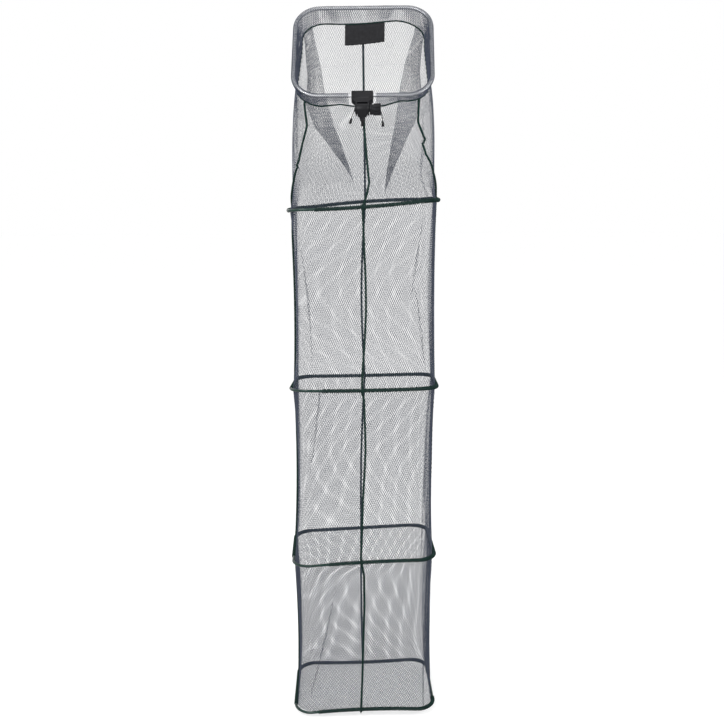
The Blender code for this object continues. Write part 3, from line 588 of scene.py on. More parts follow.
# the hem hangs below the tube, further at the back than at the front
def hemBelow(tubePoints):
    backShare = 0.5 + tubePoints[:, 1] / mouth["depth"]
    fall = hem["frontDrop"] + (hem["backDrop"] - hem["frontDrop"]) * backShare
    inset = hem["frontInset"] + (hem["backInset"] - hem["frontInset"]) * backShare
    sideShare = np.clip(2 * tubePoints[:, 0] / (mouth["width"] - mouth["corner"]), -1, 1)
    back = np.clip(2 * tubePoints[:, 1] / mouth["depth"], 0, 1) ** 2
    front = np.clip(-2 * tubePoints[:, 1] / mouth["depth"], 0, 1) ** 2
    lift = back * np.interp(tubePoints[:, 0], *hemRises["back"])
    lift += front * np.interp(tubePoints[:, 0], *hemRises["front"])
    corner = back**2 * np.abs(2 * tubePoints[:, 0] / mouth["width"]) ** 5
    reach = np.stack([np.sign(tubePoints[:, 0]) * corner * hem["sharpen"], 0 * fall, lift + corner * hem["rise"]], -1)
    return moved(mouthPlace, tubePoints) - np.stack([inset * sideShare, 0 * fall, fall], -1) + reach


hemLoop = hemBelow(tubeLoop) - np.array((0, 0, hem["clothDrop"]))  # sewn just above the hem cord's middle


# a pleat's path holds (down share, metres from the front seam, width) at each of its points
def straightPleat(start, end, widths, depth):
    middle = tuple((first + last) / 2 for first, last in zip(start, end))
    return {"path": tuple((*spot, width) for spot, width in zip((start, middle, end), widths)), "depth": depth}


# in the throat the sides are folded in behind, two broad flaps that run down to the middle
sideFlaps = {
    1: ((0.0, 0.557, 0.045), (0.35, 0.562, 0.077), (0.55, 0.593, 0.065), (0.75, 0.650, 0.040), (0.97, 0.740, 0.0)),
    -1: ((0.0, 0.567, 0.044), (0.38, 0.566, 0.070), (0.55, 0.602, 0.061), (0.70, 0.666, 0.038), (0.88, 0.767, 0.0)),
}
# pleats of the right side (1) and of the left side (-1)
throatPleats = {
    1: (
        {"path": sideFlaps[1], "depth": 0.006},
        straightPleat((0.10, 0.262), (1.0, 0.217), (0.0, 0.008, 0.004), 0.003),
        straightPleat((0.30, 0.120), (0.95, 0.072), (0.0, 0.004, 0.0), 0.003),
    ),
    -1: (
        {"path": sideFlaps[-1], "depth": 0.006},
        straightPleat((0.0, 0.310), (0.9, 0.262), (0.010, 0.006, 0.0), 0.004),
    ),
}
sectionPleats = (
    {
        1: (
            straightPleat((0.08, 0.200), (0.52, 0.150), (0.0, 0.006, 0.0), 0.003),
            straightPleat((0.42, 0.165), (0.94, 0.215), (0.0, 0.007, 0.0), 0.003),
            straightPleat((0.05, 0.262), (1.0, 0.240), (0.004, 0.010, 0.004), 0.004),
        ),
        -1: (straightPleat((0.12, 0.232), (0.90, 0.180), (0.0, 0.006, 0.0), 0.003),),
    },
    {
        1: (
            straightPleat((0.05, 0.232), (1.0, 0.205), (0.0, 0.007, 0.003), 0.003),
            straightPleat((0.0, 0.285), (0.9, 0.262), (0.004, 0.008, 0.0), 0.004),
        ),
        -1: (straightPleat((0.0, 0.150), (0.5, 0.205), (0.005, 0.005, 0.0), 0.003),),
    },
    {
        1: (
            straightPleat((0.0, 0.236), (1.0, 0.216), (0.003, 0.006, 0.003), 0.003),
            straightPleat((0.0, 0.292), (1.0, 0.270), (0.004, 0.008, 0.003), 0.004),
        ),
        -1: (straightPleat((0.12, 0.100), (0.88, 0.196), (0.0, 0.007, 0.003), 0.004),),
    },
)


def pleatAt(pleat, down):
    downs, folds, widths = zip(*pleat["path"])
    inside = (down > downs[0] - 0.001) & (down < downs[-1] + 0.001)
    return np.interp(down, downs, folds), np.where(inside, np.interp(down, downs, widths), 0)


pleatRoll = {"start": 0.06, "atHem": 0.1, "reach": 0.7}


# how far round the loop each spot of cloth lies once the pleats have taken it up, and how far it stands out
def foldCloth(way, down, pleats):
    taken, takenAtSide, out = 0 * way, 0 * way, 0 * way
    for pleat in pleats:
        fold, width = pleatAt(pleat, down)
        wide = np.maximum(width, 1e-5)
        share = np.clip((way - fold) / wide, 0, 1)
        taken = taken + 2 * share * width
        takenAtSide = takenAtSide + 2 * np.clip(halfCloth / 2 - fold, 0, width)
        widest = max(spot[2] for spot in pleat["path"])
        lift = pleat["depth"] * np.sqrt(width / widest) * np.minimum(1, down / pleatRoll["start"] + pleatRoll["atHem"])
        before = np.exp(-(((fold - way) / (pleatRoll["reach"] * wide)) ** 2))
        after = -np.exp(-(((way - fold - width) / (pleatRoll["reach"] * wide)) ** 2))
        out = out + lift * np.where(share <= 0, before, np.where(share >= 1, after, 1 - 2 * share))
    return way - taken, takenAtSide, out


# a slow, fixed unevenness, so that no panel hangs flat: count of waves for the six of each panel, then their starts
waveCounts = (2, 3, 5, 7, 11, 17)
waves = np.random.default_rng(11).uniform(0, math.tau, (4, 6, 2))


def unevenness(panel, around, down):
    total = 0 * down
    for count, (phase, drift) in zip(waveCounts, waves[panel]):
        total = total + np.sin(math.tau * count * around + phase + (drift - 3) * 1.1 * down) / count**0.5
    return total


# the front seam wanders a little from side to side on its way down: (height, sideways)
frontDrift = (
    (0.06, 0.004), (-0.02, 0.005), (-0.126, 0.014), (-0.2, 0.022), (-0.24, 0.014), (-0.282, 0.0), (-0.42, -0.004),
    (-0.62, -0.003), (-0.83, -0.0075), (-0.90, -0.006), (-0.93, 0.0), (-1.11, 0.0), (-1.29, -0.010), (-1.51, -0.0125),
    (-1.57, -0.002), (-1.69, -0.003), (-1.82, -0.0075), (-2.09, -0.0135),
)
driftHeights = [height for height, _ in reversed(frontDrift)]
driftSideways = [sideways for _, sideways in reversed(frontDrift)]

# how the cloth stands off a straight wall between its two loops
bulge = {"halfWidth": 0.246, "halfDepth": 0.186, "side": 0.019, "front": 0.030, "frontShare": 0.35, "uneven": 0.0022,
         "throatWaist": 0.002, "waist": 0.006, "cornerWaist": 0.006, "driftShare": 0.16}


# points of the bag's cloth: around is the share of the cloth's width from the front seam, by the right
def clothPoints(panel, around, down):
    around, down = np.broadcast_arrays(np.asarray(around, float), np.asarray(down, float))
    share = np.mod(around, 1.0)
    right = share <= 0.5
    way = np.where(right, share, 1 - share) * 2 * halfCloth
    spots, out = np.zeros(around.shape), np.zeros(around.shape)
    for sign, mask in ((1, right), (-1, ~right)):
        pleats = (throatPleats if panel == 0 else sectionPleats[panel - 1])[sign]
        flat, takenAtSide, lift = foldCloth(way, down, pleats)
        total = halfCloth - 2 * sum(pleatAt(pleat, down)[1] for pleat in pleats)
        if panel == 0:
            # the pleats' cloth is missing from the loop, so the back is spread to close it
            side = halfCloth / 2
            middle = side - takenAtSide
            near = flat * side / middle
            far = side + (flat - middle) * (halfCloth - side) / (total - middle)
            flat = np.where(flat < middle, near, far)
        else:
            flat = flat * halfCloth / total
        spots = np.where(mask, sign * flat / (2 * halfCloth), spots)
        out = np.where(mask, lift, out)
    upperLoop, lowerLoop = loopsOf(panel)
    upper, lower = alongLoop(upperLoop, spots), alongLoop(lowerLoop, spots)
    points = upper + (lower - upper) * down[..., None]
    bow = np.sin(math.pi * down)
    turn = np.radians(net["yaw"][panel]) * bow
    points[..., 0] -= (points[..., 1] - mouthCentre.y) * np.sin(turn)
    slack = alongLoop(slackLoop, spots) - alongLoop(netLoop, spots)
    points[..., :2] += slack[..., :2] * (np.minimum(1, 1.5 * bow) * net["slack"][panel])[..., None]
    outward = points - np.array((0, mouthCentre.y, 0))
    outward[..., 2] = 0
    half = bulge["halfWidth"], bulge["halfDepth"]
    corner = np.minimum(np.abs(outward[..., 0]) / half[0], 1) * np.minimum(np.abs(outward[..., 1]) / half[1], 1)
    outward = unit(outward * np.array((1 / half[0] ** 2, 1 / half[1] ** 2, 0)))
    if panel == 0:
        wide = upper[..., 0] / (mouth["width"] / 2)
        points[..., 0] += bulge["side"] * np.sin(math.pi * down**0.7) * np.clip(wide, -1, 1) ** 3
        forward = np.clip(2 * (mouthCentre.y - points[..., 1]) / (mouth["depth"] / 2), 0, 1)
        fade = np.clip(1 - (np.abs(wide) - bulge["frontShare"]) / (1 - bulge["frontShare"]), 0, 1)
        points[..., 1] += bulge["front"] * bow * fade * forward
        inward = bulge["throatWaist"]
    else:
        inward = bulge["waist"] + bulge["cornerWaist"] * corner
    swell = unevenness(panel, around, down) * bulge["uneven"] * np.minimum(1, 2.2 * bow)
    points = points + outward * (out + swell - inward * bow)[..., None]
    drift = np.interp(points[..., 2], driftHeights, driftSideways)
    points[..., 0] += drift * np.clip(1 - np.abs(spots) / bulge["driftShare"], 0, 1) * (np.abs(spots) < 0.5)
    return points


# the net's loops just above and just below each ring
endRise = np.array((0, 0, net["endRise"]))
ringNets = [(moved(place, netLoop + endRise), moved(place, netLoop - endRise)) for place in ringPlaces]


def loopsOf(panel):
    if panel == 0:
        return hemLoop, ringNets[0][0]
    return ringNets[panel - 1][1], ringNets[panel][0]


# the threads of one quarter of a panel: each runs zigzag from top to foot and meets its neighbours at every row
def quarterThreads(panel, quarter, top, foot):
    columns = net["backColumns"] if panel == 0 and quarter in (1, 2) else net["columns"][panel]
    perQuarter = columns // 4
    touch = net["meet"] / (2 * halfCloth)
    runs, facing = [], []
    for column in range(quarter * perQuarter, (quarter + 1) * perQuarter):
        above, below = clothPoints(panel, column / columns, np.array((top, foot)))
        middle = clothPoints(panel, column / columns, np.array((0.5 * (top + foot),)))[0]
        height = np.linalg.norm(above - middle) + np.linalg.norm(middle - below)
        rows = int(math.ceil(height / net["rows"][panel]))
        steps = np.arange(rows + 1)
        down = foot - (foot - top) * np.minimum(steps * net["rows"][panel] / height, 1)
        odd = steps % 2
        for lean in (1, -1):
            reach = column / columns + lean * (touch + odd * (0.5 / columns - 2 * touch))
            runs.append(clothPoints(panel, reach, down))
            across = clothPoints(panel, reach + 0.002, down) - runs[-1]
            facing.append(unit(np.cross(across, (0.0, 0.0, 1.0))))
    return runs, facing


quarterNames = ("frontRight", "backRight", "backLeft", "frontLeft")


def finishCloth(piece, node):
    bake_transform(piece)
    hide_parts(node)


throatSplit = 0.23
clothParts = [(0, "upper", 0.0, throatSplit), (0, "lower", throatSplit, 1.0)]
clothParts += [(panel, "whole", 0.0, 1.0) for panel in (1, 2, 3)]
for panel, part, top, foot in clothParts:
    for quarter, quarterName in enumerate(quarterNames):
        label = {"upper": "throatTop", "lower": "throat"}.get(part, f"section_{panel}")
        threads, facing = quarterThreads(panel, quarter, top, foot)
        thread = net["backThread"] if panel == 0 and quarter in (1, 2) else net["threads"][panel]
        piece = grow(f"{label}_{quarterName}", flatTree, threads, netThread, facing=facing, radius=thread, sides=3)
        finishCloth(piece, "throat_net" if panel == 0 else f"net_section_{panel}")
print("bag nets made")

# seam cords down the outside of the bag
seam = {"radius": 0.0044, "sides": 8, "plies": 3.0, "plyDepth": 0.14, "layLength": 0.013, "step": 0.0020}
seamStand, seamPoints = 0.0040, 60
seamSides = {
    "front": (0.0, (0, -1, 0)), "right": (0.25, (1, 0, 0)), "back": (0.5, (0, 1, 0)), "left": (0.75, (-1, 0, 0)),
}
# how far forward of the middle the throat's side seams lie: shares down, then shares round
seamForward = ((0, 0.29, 0.57, 0.85, 1.0), (0.122, 0.108, 0.088, 0.040, 0.0))
for panel, part, top, foot in clothParts:
    for side, (share, outward) in seamSides.items():
        down = np.linspace(top, foot, seamPoints)
        if panel == 0 and side in ("right", "left"):
            share = share + np.interp(down, *seamForward) * (-1 if side == "right" else 1)
        line = clothPoints(panel, share, down) + np.array(outward) * seamStand
        label = {"upper": "throatTopSeam", "lower": "throatSeam"}.get(part, f"sectionSeam_{panel}")
        piece = grow(f"{label}_{side}", cordTree, [line], greenCord, **seam)
        finishCloth(piece, f"throat_seam_{side}" if panel == 0 else f"seam_{panel}_{side}")
print("seam cords made")

# rings: the smooth cover and the lacing wound round it
lacing = {"wrapRadius": 0.0061, "cordRadius": 0.00165, "pitch": 0.0045, "pointsPerTurn": 10.0, "sides": 5}
buttGap = 0.0006  # between the two ends of a cover, at the back
# where no lacing is, in shares of the way round from the front middle
bareSpans = {1: ((0.815, 0.905),), 2: ((0.82, 0.915),), 3: ((0.80, 0.925),), 4: ((0.185, 0.30), (0.825, 0.90))}
# how far the front and back bars of each ring lie off their plane: (front, back)
ringBows = {1: (-0.004, 0.005), 2: (-0.002, -0.001), 3: (0.003, 0.0), 4: (0.006, -0.004)}


def ringPoints(number, shares):
    points = alongLoop(ringLoop, shares)
    front, back = ringBows[number]
    across = np.clip(1 - (points[:, 0] / (0.36 * ring["width"])) ** 2, -0.3, 1)
    depthShare = points[:, 1] / (ring["depth"] / 2)
    points[:, 2] += across * np.where(depthShare < 0, front, back) * np.abs(depthShare) ** 3
    return points


for number, place in enumerate(ringPlaces, 1):
    body = f"ring_{number}"
    gapShare = buttGap / 2 / (2 * halfCloth)
    coverLine = moved(place, ringPoints(number, np.linspace(0.5 + gapShare, 1.5 - gapShare, ring["coverPoints"])))
    cover = grow(f"ringCover_{number}", threadTree, [coverLine], greenCover, radius=ring["cover"], sides=18)
    finishPiece(cover, body, [f"ring_{number}_cover"])
    bare = bareSpans[number]
    laced = zip([bare[-1][1] - 1] + [high for _, high in bare], [low for low, _ in bare])
    lines = []
    for low, high in laced:
        shares = np.linspace(low, high, round(ring["lacingPoints"] * (high - low)))
        lines.append(moved(place, ringPoints(number, shares)))
    wound = grow(f"ringLacing_{number}", lacingTree, lines, greenCord, **lacing)
    finishPiece(wound, body, [f"ring_{number}_lacing"])
print("rings made")

# sleeve: net folded over the tube and sewn together below it
sleeve = {"columns": 232, "rows": 18, "thread": 0.00078, "tubeGap": 0.0022, "spread": 0.0014, "openHalf": 0.047,
          "waist": 0.45, "wrap": 100, "wrapSteps": 15}  # wrap in degrees each way
sleeveBillows = ((9, 1.0, 0.0012), (23, 0.0, 0.0007))  # waves round the mouth: count, start, height


# the way each thread takes from the hem over the tube and down to the hem again
def sleevePaths(shares):
    step = 0.002
    flats = [alongLoop(tubeLoop, shares + shift) for shift in (0, step, -step)]
    (centre, tubeNext, tubeLast), (below, hemNext, hemLast) = (
        [at(flat) for flat in flats] for at in (lambda flat: moved(mouthPlace, flat), hemBelow)
    )
    tubeWay, hemWay = unit(tubeNext - tubeLast), unit(hemNext - hemLast)
    fall = below - centre
    down = unit(fall - tubeWay * np.sum(fall * tubeWay, -1, keepdims=True))
    across = np.cross(tubeWay, down)
    hemDown = unit(fall - hemWay * np.sum(fall * hemWay, -1, keepdims=True))
    apart = np.cross(hemWay, hemDown) * sleeve["spread"]
    radius = mouth["tube"] + sleeve["tubeGap"]
    lean = apart * 1.2 + across * radius * sleeve["waist"]
    halfWay = below * 0.5 + centre * 0.5
    rows = [below + apart, halfWay + lean]
    for angle in np.radians(np.linspace(sleeve["wrap"], -sleeve["wrap"], sleeve["wrapSteps"])):
        rows.append(centre + radius * (across * math.sin(angle) - down * math.cos(angle)))
    return np.stack(rows + [halfWay - lean, below - apart], 1)


def sleeveThreads(low, high):
    runs, rows = [], sleeve["rows"]
    touch = 0.8 * sleeve["thread"] / (2 * halfCloth)
    openShare = sleeve["openHalf"] / (2 * halfCloth)
    odd = np.arange(rows + 1) % 2
    for column in range(low, high):
        share = column / sleeve["columns"]
        billow = sum(np.sin(share * math.tau * count + start) * height for count, start, height in sleeveBillows)
        for lean in (1, -1):
            shares = share + lean * (touch + odd * (0.5 / sleeve["columns"] - 2 * touch))
            if np.any((np.mod(shares, 1) < openShare) | (np.mod(shares, 1) > 1 - openShare)):
                continue
            run = []
            for row, path in enumerate(sleevePaths(shares)):
                reach = reachAlong(path)
                run.append(pointsAt(path, reach, reach[-1] * row / rows))
            run = np.array(run)
            run[:, 2] += billow * np.sin(np.linspace(0, math.tau, rows + 1))
            runs.append(run)
    return runs


halfColumns = sleeve["columns"] // 2
for sleeveSide, low, high in (("right", 0, halfColumns), ("left", halfColumns, sleeve["columns"])):
    piece = grow(
        f"frameSleeve_{sleeveSide}", threadTree, sleeveThreads(low, high), netThread, radius=sleeve["thread"], sides=3
    )
    finishPiece(piece, "mouth", ["frame_sleeve"])
print("sleeve made")

# hem cord, worked in and out of the net below the tube
hemCord = {"radius": 0.0031, "sides": 8, "plies": 2.0, "plyDepth": 0.18, "layLength": 0.011, "step": 0.0017}
hemStitch = {"length": 0.019, "height": 0.0014}
hemLine = hemBelow(alongLoop(tubeLoop, np.linspace(0, 1, hem["points"])[:-1])) - np.array((0, 0, hem["cordDrop"]))
hemPhase = reachAlong(hemLine) * math.tau / hemStitch["length"]
hemOut = unit((hemLine - np.array(mouthCentre)) * np.array((1, 1, 0)))
hemLine = hemLine + hemOut * (np.sin(hemPhase) * hemStitch["height"])[:, None]
hemPiece = grow("hemCord", cordTree, [hemLine], greenCord, closed=True, **hemCord)
finishPiece(hemPiece, "mouth", ["hem_cord"])
print("hem made")

# the bottom net inside the last ring
bottom = {"columns": 56, "row": 0.0078, "sag": 0.006, "drop": 0.0006, "cornerInset": 0.008, "thread": 0.00056}


def bottomThreads():
    halfX, halfY = netSize[0] / 2, netSize[1] / 2
    corner = ring["corner"] - bottom["cornerInset"]
    touch = net["meet"]
    pitch = 2 * halfX / bottom["columns"]
    steps = np.arange(int(round(2 * halfY / bottom["row"])) + 1)
    y = -halfY + 2 * halfY * steps / steps[-1]
    runs = []
    for column in range(bottom["columns"] + 1):
        for lean in (1, -1):
            x = -halfX + column * pitch + lean * (touch + (steps % 2) * (pitch / 2 - 2 * touch))
            past = np.hypot(np.maximum(np.abs(x) - (halfX - corner), 0), np.maximum(np.abs(y) - (halfY - corner), 0))
            chosen = np.flatnonzero((past <= corner) & (np.abs(x) <= halfX))
            sag = bottom["sag"] * np.clip(1 - (x / halfX) ** 2, 0, 1) * np.clip(1 - (y / halfY) ** 2, 0, 1)
            points = moved(ringPlaces[3], np.stack([x, y, -sag - bottom["drop"]], -1))
            if len(chosen) > 2:
                runs.append(points[chosen[0] : chosen[-1] + 1])
    return runs


bottomPiece = grow("bottomNet", threadTree, bottomThreads(), netThread, radius=bottom["thread"], sides=3)
finishPiece(bottomPiece, "ring_4", ["bottom_net"])
print("bottom net made")

# frame tube, smooth all the way round, with its ends inside the head
tubeGap = 0.0007  # half the gap between its ends, as a share of its length
tubeLine = moved(mouthPlace, alongLoop(tubeLoop, np.clip(np.linspace(0, 1, 401), tubeGap, 1 - tubeGap)))
tubePiece = grow("mouthTube", threadTree, [tubeLine], tubeMetal, radius=mouth["tube"], sides=32)
finishPiece(tubePiece, "mouth", ["mouth_frame_tube"])
print("tube made")

# knots: the front seam cord wound round each ring, with what is left of it hanging below
knotWrap = {"wrapRadius": 0.0086, "cordRadius": 0.0015, "pitch": 0.0030, "pointsPerTurn": 20.0, "sides": 7}
knotTail = {"radius": 0.0021, "sides": 8, "plies": 3.0, "plyDepth": 0.16, "layLength": 0.009, "step": 0.0012}
knotTurns = {1: 4.5, 2: 3.0, 3: 3.0, 4: 2.5}
tailLengths = {1: (0.030, 0.022), 2: (0.012,), 3: (0.014,), 4: (0.007,)}
tailApart = 0.0036
# a tail's way down: share of its lean, sideways, forward, up, and share of its length
tailRoute = (
    (0.4, 0, 0.002, 0.003, 0), (1.0, 0, -0.0010, 0, 0.25), (1.15, -0.0008, -0.0006, 0, 0.65), (0.8, 0, 0.0012, 0, 1.0),
)
for number, place in enumerate(ringPlaces, 1):
    sideways = float(np.interp(place.translation.z, driftHeights, driftSideways))
    half = 0.5 * knotTurns[number] * knotWrap["pitch"]
    shares = np.linspace(sideways - half, sideways + half, 12) / (2 * halfCloth)
    bar = moved(place, ringPoints(number, shares))
    wound = grow(f"ringKnotWrap_{number}", lacingTree, [bar], greenCord, **knotWrap)
    top = bar.mean(axis=0) + knotWrap["wrapRadius"] * np.array((0, -0.75, -0.6))
    tails = []
    for tail, length in enumerate(tailLengths[number]):
        lean = tailApart * (tail - 0.5 * (len(tailLengths[number]) - 1))
        route = [top + (lean * wide + x, y, z - length * fall) for wide, x, y, z, fall in tailRoute]
        tails.append(smoothRun(route, 6))
    hanging = grow(f"ringKnotTail_{number}", cordTree, tails, greenCord, **knotTail)
    knotPiece = addObject(f"ringKnot_{number}", joinMeshes("ringKnot", [wound.data, hanging.data]))
    bpy.data.objects.remove(wound)
    bpy.data.objects.remove(hanging)
    finishPiece(knotPiece, f"ring_{number}", [f"ring_{number}_knot"], greenCord)
print("knots made")

# name label: a bare strip of black woven satin, its sides and foot turned in and sewn down
nameLabel = {"width": 0.138, "height": 0.072, "cloth": 0.0009, "turnIn": 0.006, "across": 84, "down": 44, "curl": 0.014}
labelStitch = {"inset": 0.0038, "length": 0.0026, "gap": 0.0013, "thread": 0.00027, "first": 0.0006}
# the hollow colour and its share are painted shade: they darken the satin where the weave is low
labelLook = {"weave": (0.0011, 0.0008), "weaveHeight": 0.00012, "dark": (0.006, 0.006, 0.008),
             "light": (0.024, 0.024, 0.029), "hollow": (0.45, 0.45, 0.45), "hollowShare": 0.7}


def makeLabelFinish():
    finish = Finish("labelSatin", (0.010, 0.010, 0.012), 0.62, Specular_IOR_Level=0.25, Sheen_Weight=0.12)
    ways = finish.node("ShaderNodeSeparateXYZ", finish.node("ShaderNodeTexCoord").outputs["UV"]).outputs
    waves = [
        finish.calc("SINE", finish.calc("MULTIPLY", way, math.tau / pitch))
        for way, pitch in zip(ways, labelLook["weave"])
    ]
    weave = finish.calc("MULTIPLY", *waves)
    made = finish.node(
        "ShaderNodeGroup", node_tree=fibreEffect, Colour=labelLook["dark"], Light_Colour=labelLook["light"],
        Fibre_Size=1100.0, Patch_Size=70.0, Fibre_Height=0.00003, Light_Share=0.8,
    ).outputs
    # painted shade: the colour is multiplied darker in the weave's hollows, where its bump is low
    share = finish.out("ShaderNodeMapRange", weave, -1.0, 1.0, labelLook["hollowShare"], 0.0)
    shadedTint = blendColours(finish, share, made["Colour"], labelLook["hollow"], blend_type="MULTIPLY")
    bump = finish.out(
        "ShaderNodeBump", Strength=0.7, Distance=labelLook["weaveHeight"], Height=weave, Normal=made["Normal"]
    )
    finish.drive(Base_Color=shadedTint, Normal=bump)
    return finish.material


# how the label hangs from the hem: metres, but for the shares settleBy, curlFrom, shorter and skew
labelHang = {"aside": 0.0050, "below": 0.0008, "y": 0.2290, "settleBy": 0.22, "gather": 0.0008, "bow": 0.0016,
             "curlFrom": 0.80, "shorter": 0.985, "skew": 0.05, "ripple": 0.0006, "lean": 0.0015}
hemBack = hemLine[hemLine[:, 1] > float(mouthCentre.y)]
hemBack = hemBack[np.argsort(hemBack[:, 0])]


# the label's cloth: u across from the left, v down from the hem, both in shares
def labelPoints(u, v):
    u, v = np.broadcast_arrays(u, v)
    x = (u - 0.5) * nameLabel["width"] + labelHang["aside"]
    topZ = np.interp(x, hemBack[:, 0], hemBack[:, 2]) - labelHang["below"]
    topY = np.interp(x, hemBack[:, 0], hemBack[:, 1])
    settle = np.clip(v / labelHang["settleBy"], 0, 1)
    settle = settle * settle * (3 - 2 * settle)
    gather = np.sin(math.tau * 5.5 * u + 0.6) + 0.6 * np.sin(math.tau * 11.3 * u + 2.0)
    y = topY + (labelHang["y"] - topY) * settle + labelHang["gather"] * gather * v
    y = y - labelHang["bow"] * np.sin(math.pi * v) * np.sin(math.tau * 1.3 * u + 0.4)
    curled = np.clip((u - labelHang["curlFrom"]) / (1 - labelHang["curlFrom"]), 0, 1)
    y = y - nameLabel["curl"] * curled**2 * v
    z = topZ - nameLabel["height"] * v * (labelHang["shorter"] - labelHang["skew"] * u)
    z = z + labelHang["ripple"] * v * np.sin(math.tau * 9.0 * u)
    return np.stack([x - labelHang["lean"] * v, y, z], -1)


def labelNormals(u, v):
    step = 0.002
    along = labelPoints(u + step, v) - labelPoints(u - step, v)
    downward = labelPoints(u, v + step) - labelPoints(u, v - step)
    return unit(np.cross(along, -downward))


def labelThickness(u, v):
    edge = np.minimum(np.minimum(u, 1 - u) * nameLabel["width"], (1 - v) * nameLabel["height"])
    doubled = np.clip((nameLabel["turnIn"] - edge) / 0.0008 + 0.5, 0, 1)
    rounded = np.clip(edge / 0.0006, 0.0, 1) ** 0.5
    return nameLabel["cloth"] * (0.5 + 0.5 * doubled) * (0.25 + 0.75 * rounded)


def makeLabel():
    across, downward = nameLabel["across"], nameLabel["down"]
    u, v = np.meshgrid(np.linspace(0, 1, across + 1), np.linspace(0, 1, downward + 1))
    middle, normals = labelPoints(u, v), labelNormals(u, v)
    half = 0.5 * labelThickness(u, v)[..., None]
    sheets = [middle - normals * half, middle + normals * half]
    bm = bmesh.new()
    uvLayer = bm.loops.layers.uv.new("cloth")
    grids = [[[bm.verts.new(spot) for spot in row] for row in sheet] for sheet in sheets]
    flatPlace = {}
    for grid in grids:
        for row in range(downward + 1):
            for column in range(across + 1):
                spot = u[row, column] * nameLabel["width"], v[row, column] * nameLabel["height"]
                flatPlace[grid[row][column]] = spot
    front, back = grids
    for row in range(downward):
        for column in range(across):
            corners = (row, column), (row + 1, column), (row + 1, column + 1), (row, column + 1)
            bm.faces.new([front[r][c] for r, c in corners])
            bm.faces.new([back[r][c] for r, c in corners[:1] + corners[:0:-1]])
    rim = [(0, column) for column in range(across)] + [(row, across) for row in range(downward)]
    rim += [(downward, column) for column in range(across, 0, -1)] + [(row, 0) for row in range(downward, 0, -1)]
    for (row, column), (nextRow, nextColumn) in zip(rim, rim[1:] + rim[:1]):
        bm.faces.new((front[row][column], front[nextRow][nextColumn], back[nextRow][nextColumn], back[row][column]))
    bmesh.ops.recalc_face_normals(bm, faces=bm.faces)
    for face in bm.faces:
        face.smooth = True
        for loop in face.loops:
            loop[uvLayer].uv = flatPlace[loop.vert]
    return addObject("nameLabel", meshOf(bm, "nameLabel"))


# short stitches along the label's sides and foot
def labelStitches():
    insetU, insetV = labelStitch["inset"] / nameLabel["width"], labelStitch["inset"] / nameLabel["height"]
    pitch = labelStitch["length"] + labelStitch["gap"]
    corners = np.array(((insetU, 0.04), (insetU, 1 - insetV), (1 - insetU, 1 - insetV), (1 - insetU, 0.04)))
    runs = []
    for start, end in zip(corners, corners[1:]):
        length = np.linalg.norm((end - start) * np.array((nameLabel["width"], nameLabel["height"])))
        for stitch in range(int(length / pitch)):
            reach = stitch * pitch + labelStitch["first"]
            spots = (reach + labelStitch["length"] * np.linspace(0, 1, 5)) / length
            flat = start + (end - start) * spots[:, None]
            u, v = flat[:, 0], flat[:, 1]
            lift = 0.5 * labelThickness(u, v) + labelStitch["thread"] * np.array((-0.6, 0.5, 0.8, 0.5, -0.6))
            normals = labelNormals(u, v)
            normals = normals * -np.sign(normals[:, 1:2])
            runs.append(labelPoints(u, v) + normals * lift[:, None])
    return runs


labelSatin = makeLabelFinish()
stitchThread = fibreFinish("stitchThread", (0.020, 0.020, 0.023), (0.060, 0.060, 0.066), fibre=2600.0)
labelPiece = finishPiece(makeLabel(), "mouth", ["name_label"], labelSatin)
stitchPiece = grow("labelStitches", threadTree, labelStitches(), stitchThread, radius=labelStitch["thread"], sides=5)
finishPiece(stitchPiece, "mouth")
print("label made")

# head: lobed knob, socket screws and moulded shells in the tilted head's own frame, nose and stud upright
acrossHead = headPlace @ Matrix.Rotation(math.radians(90), 4, "Y")
blackenedSteel = surfaceFinish(
    "blackenedSteel", (0.028, 0.028, 0.031), (0.060, 0.058, 0.056), (0.34, 0.5), metallic=0.85, patch=140.0
)
knobShape = {"start": 0.0246, "lobes": 8, "lobeDepth": 0.0030, "sides": 128}
# radius, height above the start, and how deep the lobes are there
knobRows = (
    (0.0020, 0.0245, 0.0), (0.0069, 0.0245, 0.0), (0.0069, 0.0004, 0.0), (0.0073, 0.0, 0.0), (0.0160, 0.0, 0.0),
    (0.0167, 0.0004, 0.0), (0.0170, 0.0012, 0.0), (0.0170, 0.0098, 0.0), (0.0164, 0.0104, 0.0), (0.0164, 0.0114, 0.0),
    (0.0172, 0.0118, 0.2), (0.0184, 0.0122, 0.7), (0.0191, 0.0130, 0.9), (0.0195, 0.0144, 1.0), (0.0195, 0.0200, 1.0),
    (0.0195, 0.0340, 1.0), (0.0191, 0.0354, 1.0), (0.0182, 0.0364, 0.9), (0.0166, 0.0370, 0.5), (0.0128, 0.0370, 0.0),
    (0.0122, 0.0366, 0.0), (0.0119, 0.0360, 0.0), (0.0050, 0.0360, 0.0), (0.0020, 0.0362, 0.0),
)


def knobReach(row, angle):
    valley = (0.5 - 0.5 * math.cos(knobShape["lobes"] * angle)) ** 3
    return row[0] - knobShape["lobeDepth"] * row[2] * valley


# a screw with a six-sided socket: its rows also hold whether they are six-sided
def socketReach(row, angle):
    return row[0] / math.cos(math.radians(30) - angle % math.radians(60)) if row[2] else row[0]


def socketMesh(name, outline, sides, place):
    return loftMesh(name, rowsAround(outline, sides, socketReach), place, sharp=35)


